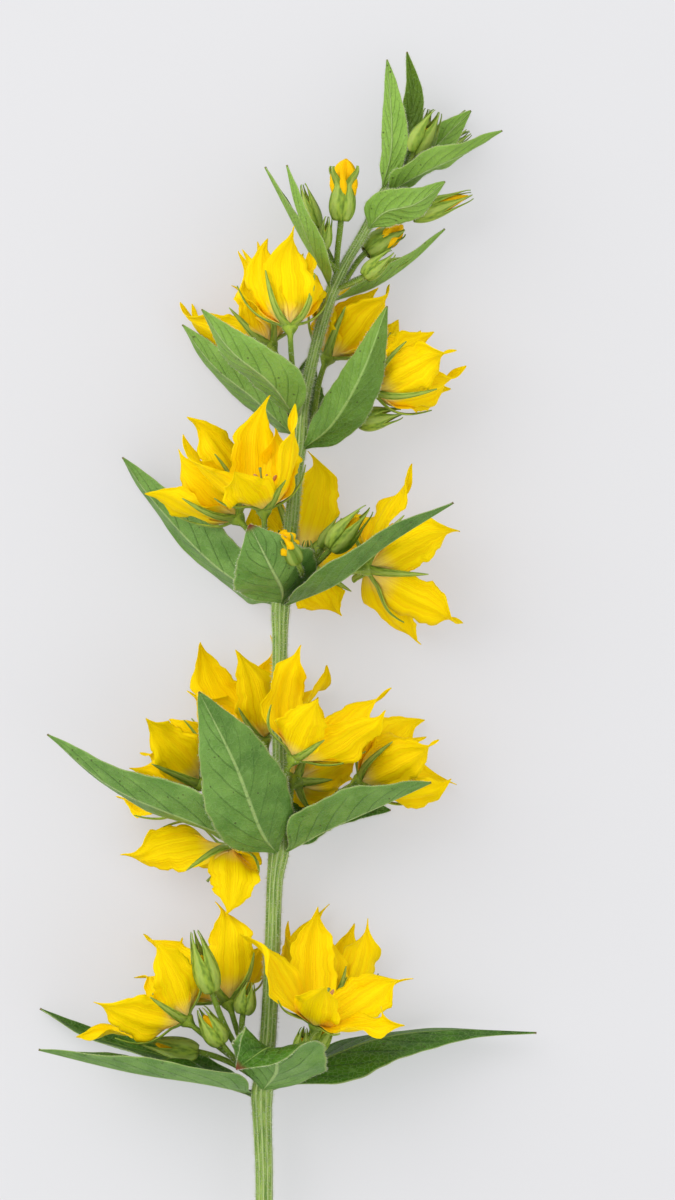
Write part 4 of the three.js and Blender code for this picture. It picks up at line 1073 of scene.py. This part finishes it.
# %% Make the clusters
stalk_rings = []
for number, axil in enumerate(AXILS):
    green, yellow = [], []
    for flower in [f for f in FLOWERS if f["axil"] == axil]:
        lines = petal_lines(flower)
        stalk = stalk_and_cup(flower, lines)
        sepals = sepal_blades(lines, flower.get("sepals", 1))
        green += [stalk, *sepals]
        stalk_rings.append(stalk)
    for order, bud in enumerate([b for b in BUDS if b["axil"] == axil]):
        shapes, inside = bud_shapes(bud, 700 + 10 * number + order)
        green += shapes
        yellow.append(inside)
        stalk_rings.append(shapes[0])
    make_piece("cluster_" + axil, green, CALYX_GREEN, "flower_stalks_" + axil)
    if yellow:
        make_piece("bud_petals_" + axil, yellow, BUD_YELLOW)
print("clusters made:", len(AXILS))

# %% [markdown]
# ## Hairs
#
# The stem, the stalks and the edges of the leaves are downy. A hair is a three-sided spike: three
# points round its root and one at its tip, so tens of thousands of them stay light. Blender has hair
# of its own, but only a mesh is kept when the model is exported. The roots are spread by chance over
# the surfaces that were made above.

# %% Make the hairs
def spikes(roots, ways, lengths, width):
    """Three root points a third of a turn apart and one tip for every hair, as arrays of four points."""
    ways = unit(ways)
    first = unit(np.cross(ways, [0.31, 0.17, 0.93]))
    second = np.cross(ways, first)
    ring = circle(first[:, None], second[:, None], 2 * np.pi / 3 * np.arange(3))
    base = roots[:, None] + ring * width
    tips = roots + ways * lengths[:, None]
    points = np.concatenate([base, tips[:, None]], axis=1).reshape(-1, 3)
    points[:, 2] = np.maximum(points[:, 2], 0.05 * MM)
    faces = np.array([[0, 1, 3], [1, 2, 3], [2, 0, 3], [0, 2, 1]])
    tris = (4 * np.arange(len(roots))[:, None, None] + faces).reshape(-1, 3)
    zero = np.zeros(len(points))
    return dict(points=points, quads=np.zeros((0, 4), int), tris=tris,
                uv=np.zeros((len(points), 2)), tone=zero, skin=zero)


def hairs_on_tube(shape, count, long, chance):
    """Roots picked between neighbouring points of a tube's rings, growing straight out with some lean."""
    rings, outwards = shape["rings"], shape["outwards"]
    i = chance.integers(0, len(rings) - 1, count)
    k = chance.integers(0, rings.shape[1], count)
    f = chance.uniform(0, 1, (count, 1))
    roots = rings[i, k] * (1 - f) + rings[i + 1, k] * f
    roots = roots + (rings[i, (k + 1) % rings.shape[1]] - rings[i, k]) * chance.uniform(0, 1, (count, 1))
    ways = outwards[i, k] + chance.normal(0, 0.3, (count, 3))
    return spikes(roots, ways, long * chance.uniform(0.5, 1.2, count), 0.03 * MM)


def hairs_on_edge(edge, side, count, long, chance):
    """Roots picked along a line of points, growing away from the blade."""
    at = chance.uniform(0, len(edge) - 1.001, count)
    i = at.astype(int)
    f = (at - i)[:, None]
    roots = edge[i] * (1 - f) + edge[i + 1] * f
    ways = side[i] + chance.normal(0, 0.35, (count, 3))
    return spikes(roots, ways, long * chance.uniform(0.5, 1.2, count), 0.024 * MM)


ON_STEM, STEM_HAIR = 14000, 0.62 * MM
ON_EACH, SMALL_HAIR = 260, 0.4 * MM
chance = np.random.default_rng(9)
on_stem = [hairs_on_tube(stem_tube, ON_STEM, STEM_HAIR, chance)]
make_piece("hairs_of_stem", on_stem, HAIR_PALE)
on_stalks = [hairs_on_tube(stalk, ON_EACH, SMALL_HAIR, chance) for stalk in stalk_rings]
make_piece("hairs_of_stalks", on_stalks, HAIR_PALE)
on_leaves = [hairs_on_edge(edge, side, ON_EACH, SMALL_HAIR, chance) for edge, side in leaf_edges]
make_piece("hairs_of_leaves", on_leaves, HAIR_PALE)
print("hairs:", ON_STEM + ON_EACH * (len(stalk_rings) + len(leaf_edges)))

# %% [markdown]
# ## Table, light and camera
#
# The plant lies on a plain pale table and the camera looks straight down on it from far away, so
# that the picture has next to no perspective. The whole picture is 675 by 1200 pixels, and its
# middle is the layout's pixel (337.5, 600). The light is even and soft, from all over, with one
# larger share from the upper left. The table gives off a little light of its own, which keeps the
# shadows faint.

# %% Make the table
REACH = 1.5
floor_mesh = bpy.data.meshes.new("table")
corners = [(-REACH, -REACH, 0), (REACH, -REACH, 0), (REACH, REACH, 0), (-REACH, REACH, 0)]
floor_mesh.from_pydata(corners, [], [(0, 1, 2, 3)])
floor = bpy.data.objects.new("table", floor_mesh)
bpy.context.collection.objects.link(floor)
paper = Finish("pale_paper", Roughness=0.9, Specular_IOR_Level=0.1, Emission_Strength=0.4)
paper.shader.inputs["Emission Color"].default_value = (1.0, 1.0, 1.02, 1.0)
paper_place = paper.add("TexCoord").outputs["Object"]
paper.colour(paper.blend(paper.noise(paper_place, 3.0), srgb(149, 149, 150), srgb(152, 152, 153)))
floor_mesh.materials.append(paper.material)
print("table made")

# %% Light
def soft_light(name, place, size, watts):
    """A square lamp of the given side, aimed at the middle of the plant."""
    lamp = bpy.data.lights.new(name, "AREA")
    lamp.size = size
    lamp.energy = watts
    light = bpy.data.objects.new(name, lamp)
    light.location = place
    aim = -np.array(place)
    turn = np.arctan2(aim[1], aim[0])
    tilt = np.arctan2(np.hypot(aim[0], aim[1]), -aim[2])
    light.rotation_euler = (0, -tilt, turn)
    bpy.context.collection.objects.link(light)
    return light


lamps = [soft_light("window", (-0.8, 0.6, 0.85), 1.2, 11.4),
         soft_light("reflector", (0.9, -0.4, 0.8), 1.0, 2.4)]
world = bpy.data.worlds.new("room")
world.use_nodes = True
background = world.node_tree.nodes["Background"]
background.inputs["Color"].default_value = (1.0, 1.0, 1.02, 1.0)
background.inputs["Strength"].default_value = 0.94
bpy.context.scene.world = world
bpy.context.scene.view_settings.view_transform = "Standard"
print("lights:", len(lamps))

# %% Camera
DISTANCE = 3.0
STEM_HEIGHT = 11 * MM
SENSOR = 36.0
PICTURE = (675, 1200)
camera_data = bpy.data.cameras.new("camera")
camera_data.sensor_fit = "VERTICAL"
camera_data.sensor_height = SENSOR
# The stem's height is where 1200 pixels have to be 1200 times 0.18 mm.
camera_data.lens = SENSOR * (DISTANCE - STEM_HEIGHT) / (PICTURE[1] * PIXEL)
camera = bpy.data.objects.new("camera", camera_data)
middle = at_photo([PICTURE[0] / 2, PICTURE[1] / 2, 0])
camera.location = (middle[0], middle[1], DISTANCE)
bpy.context.collection.objects.link(camera)
bpy.context.scene.camera = camera
print("lens (mm):", round(camera_data.lens))
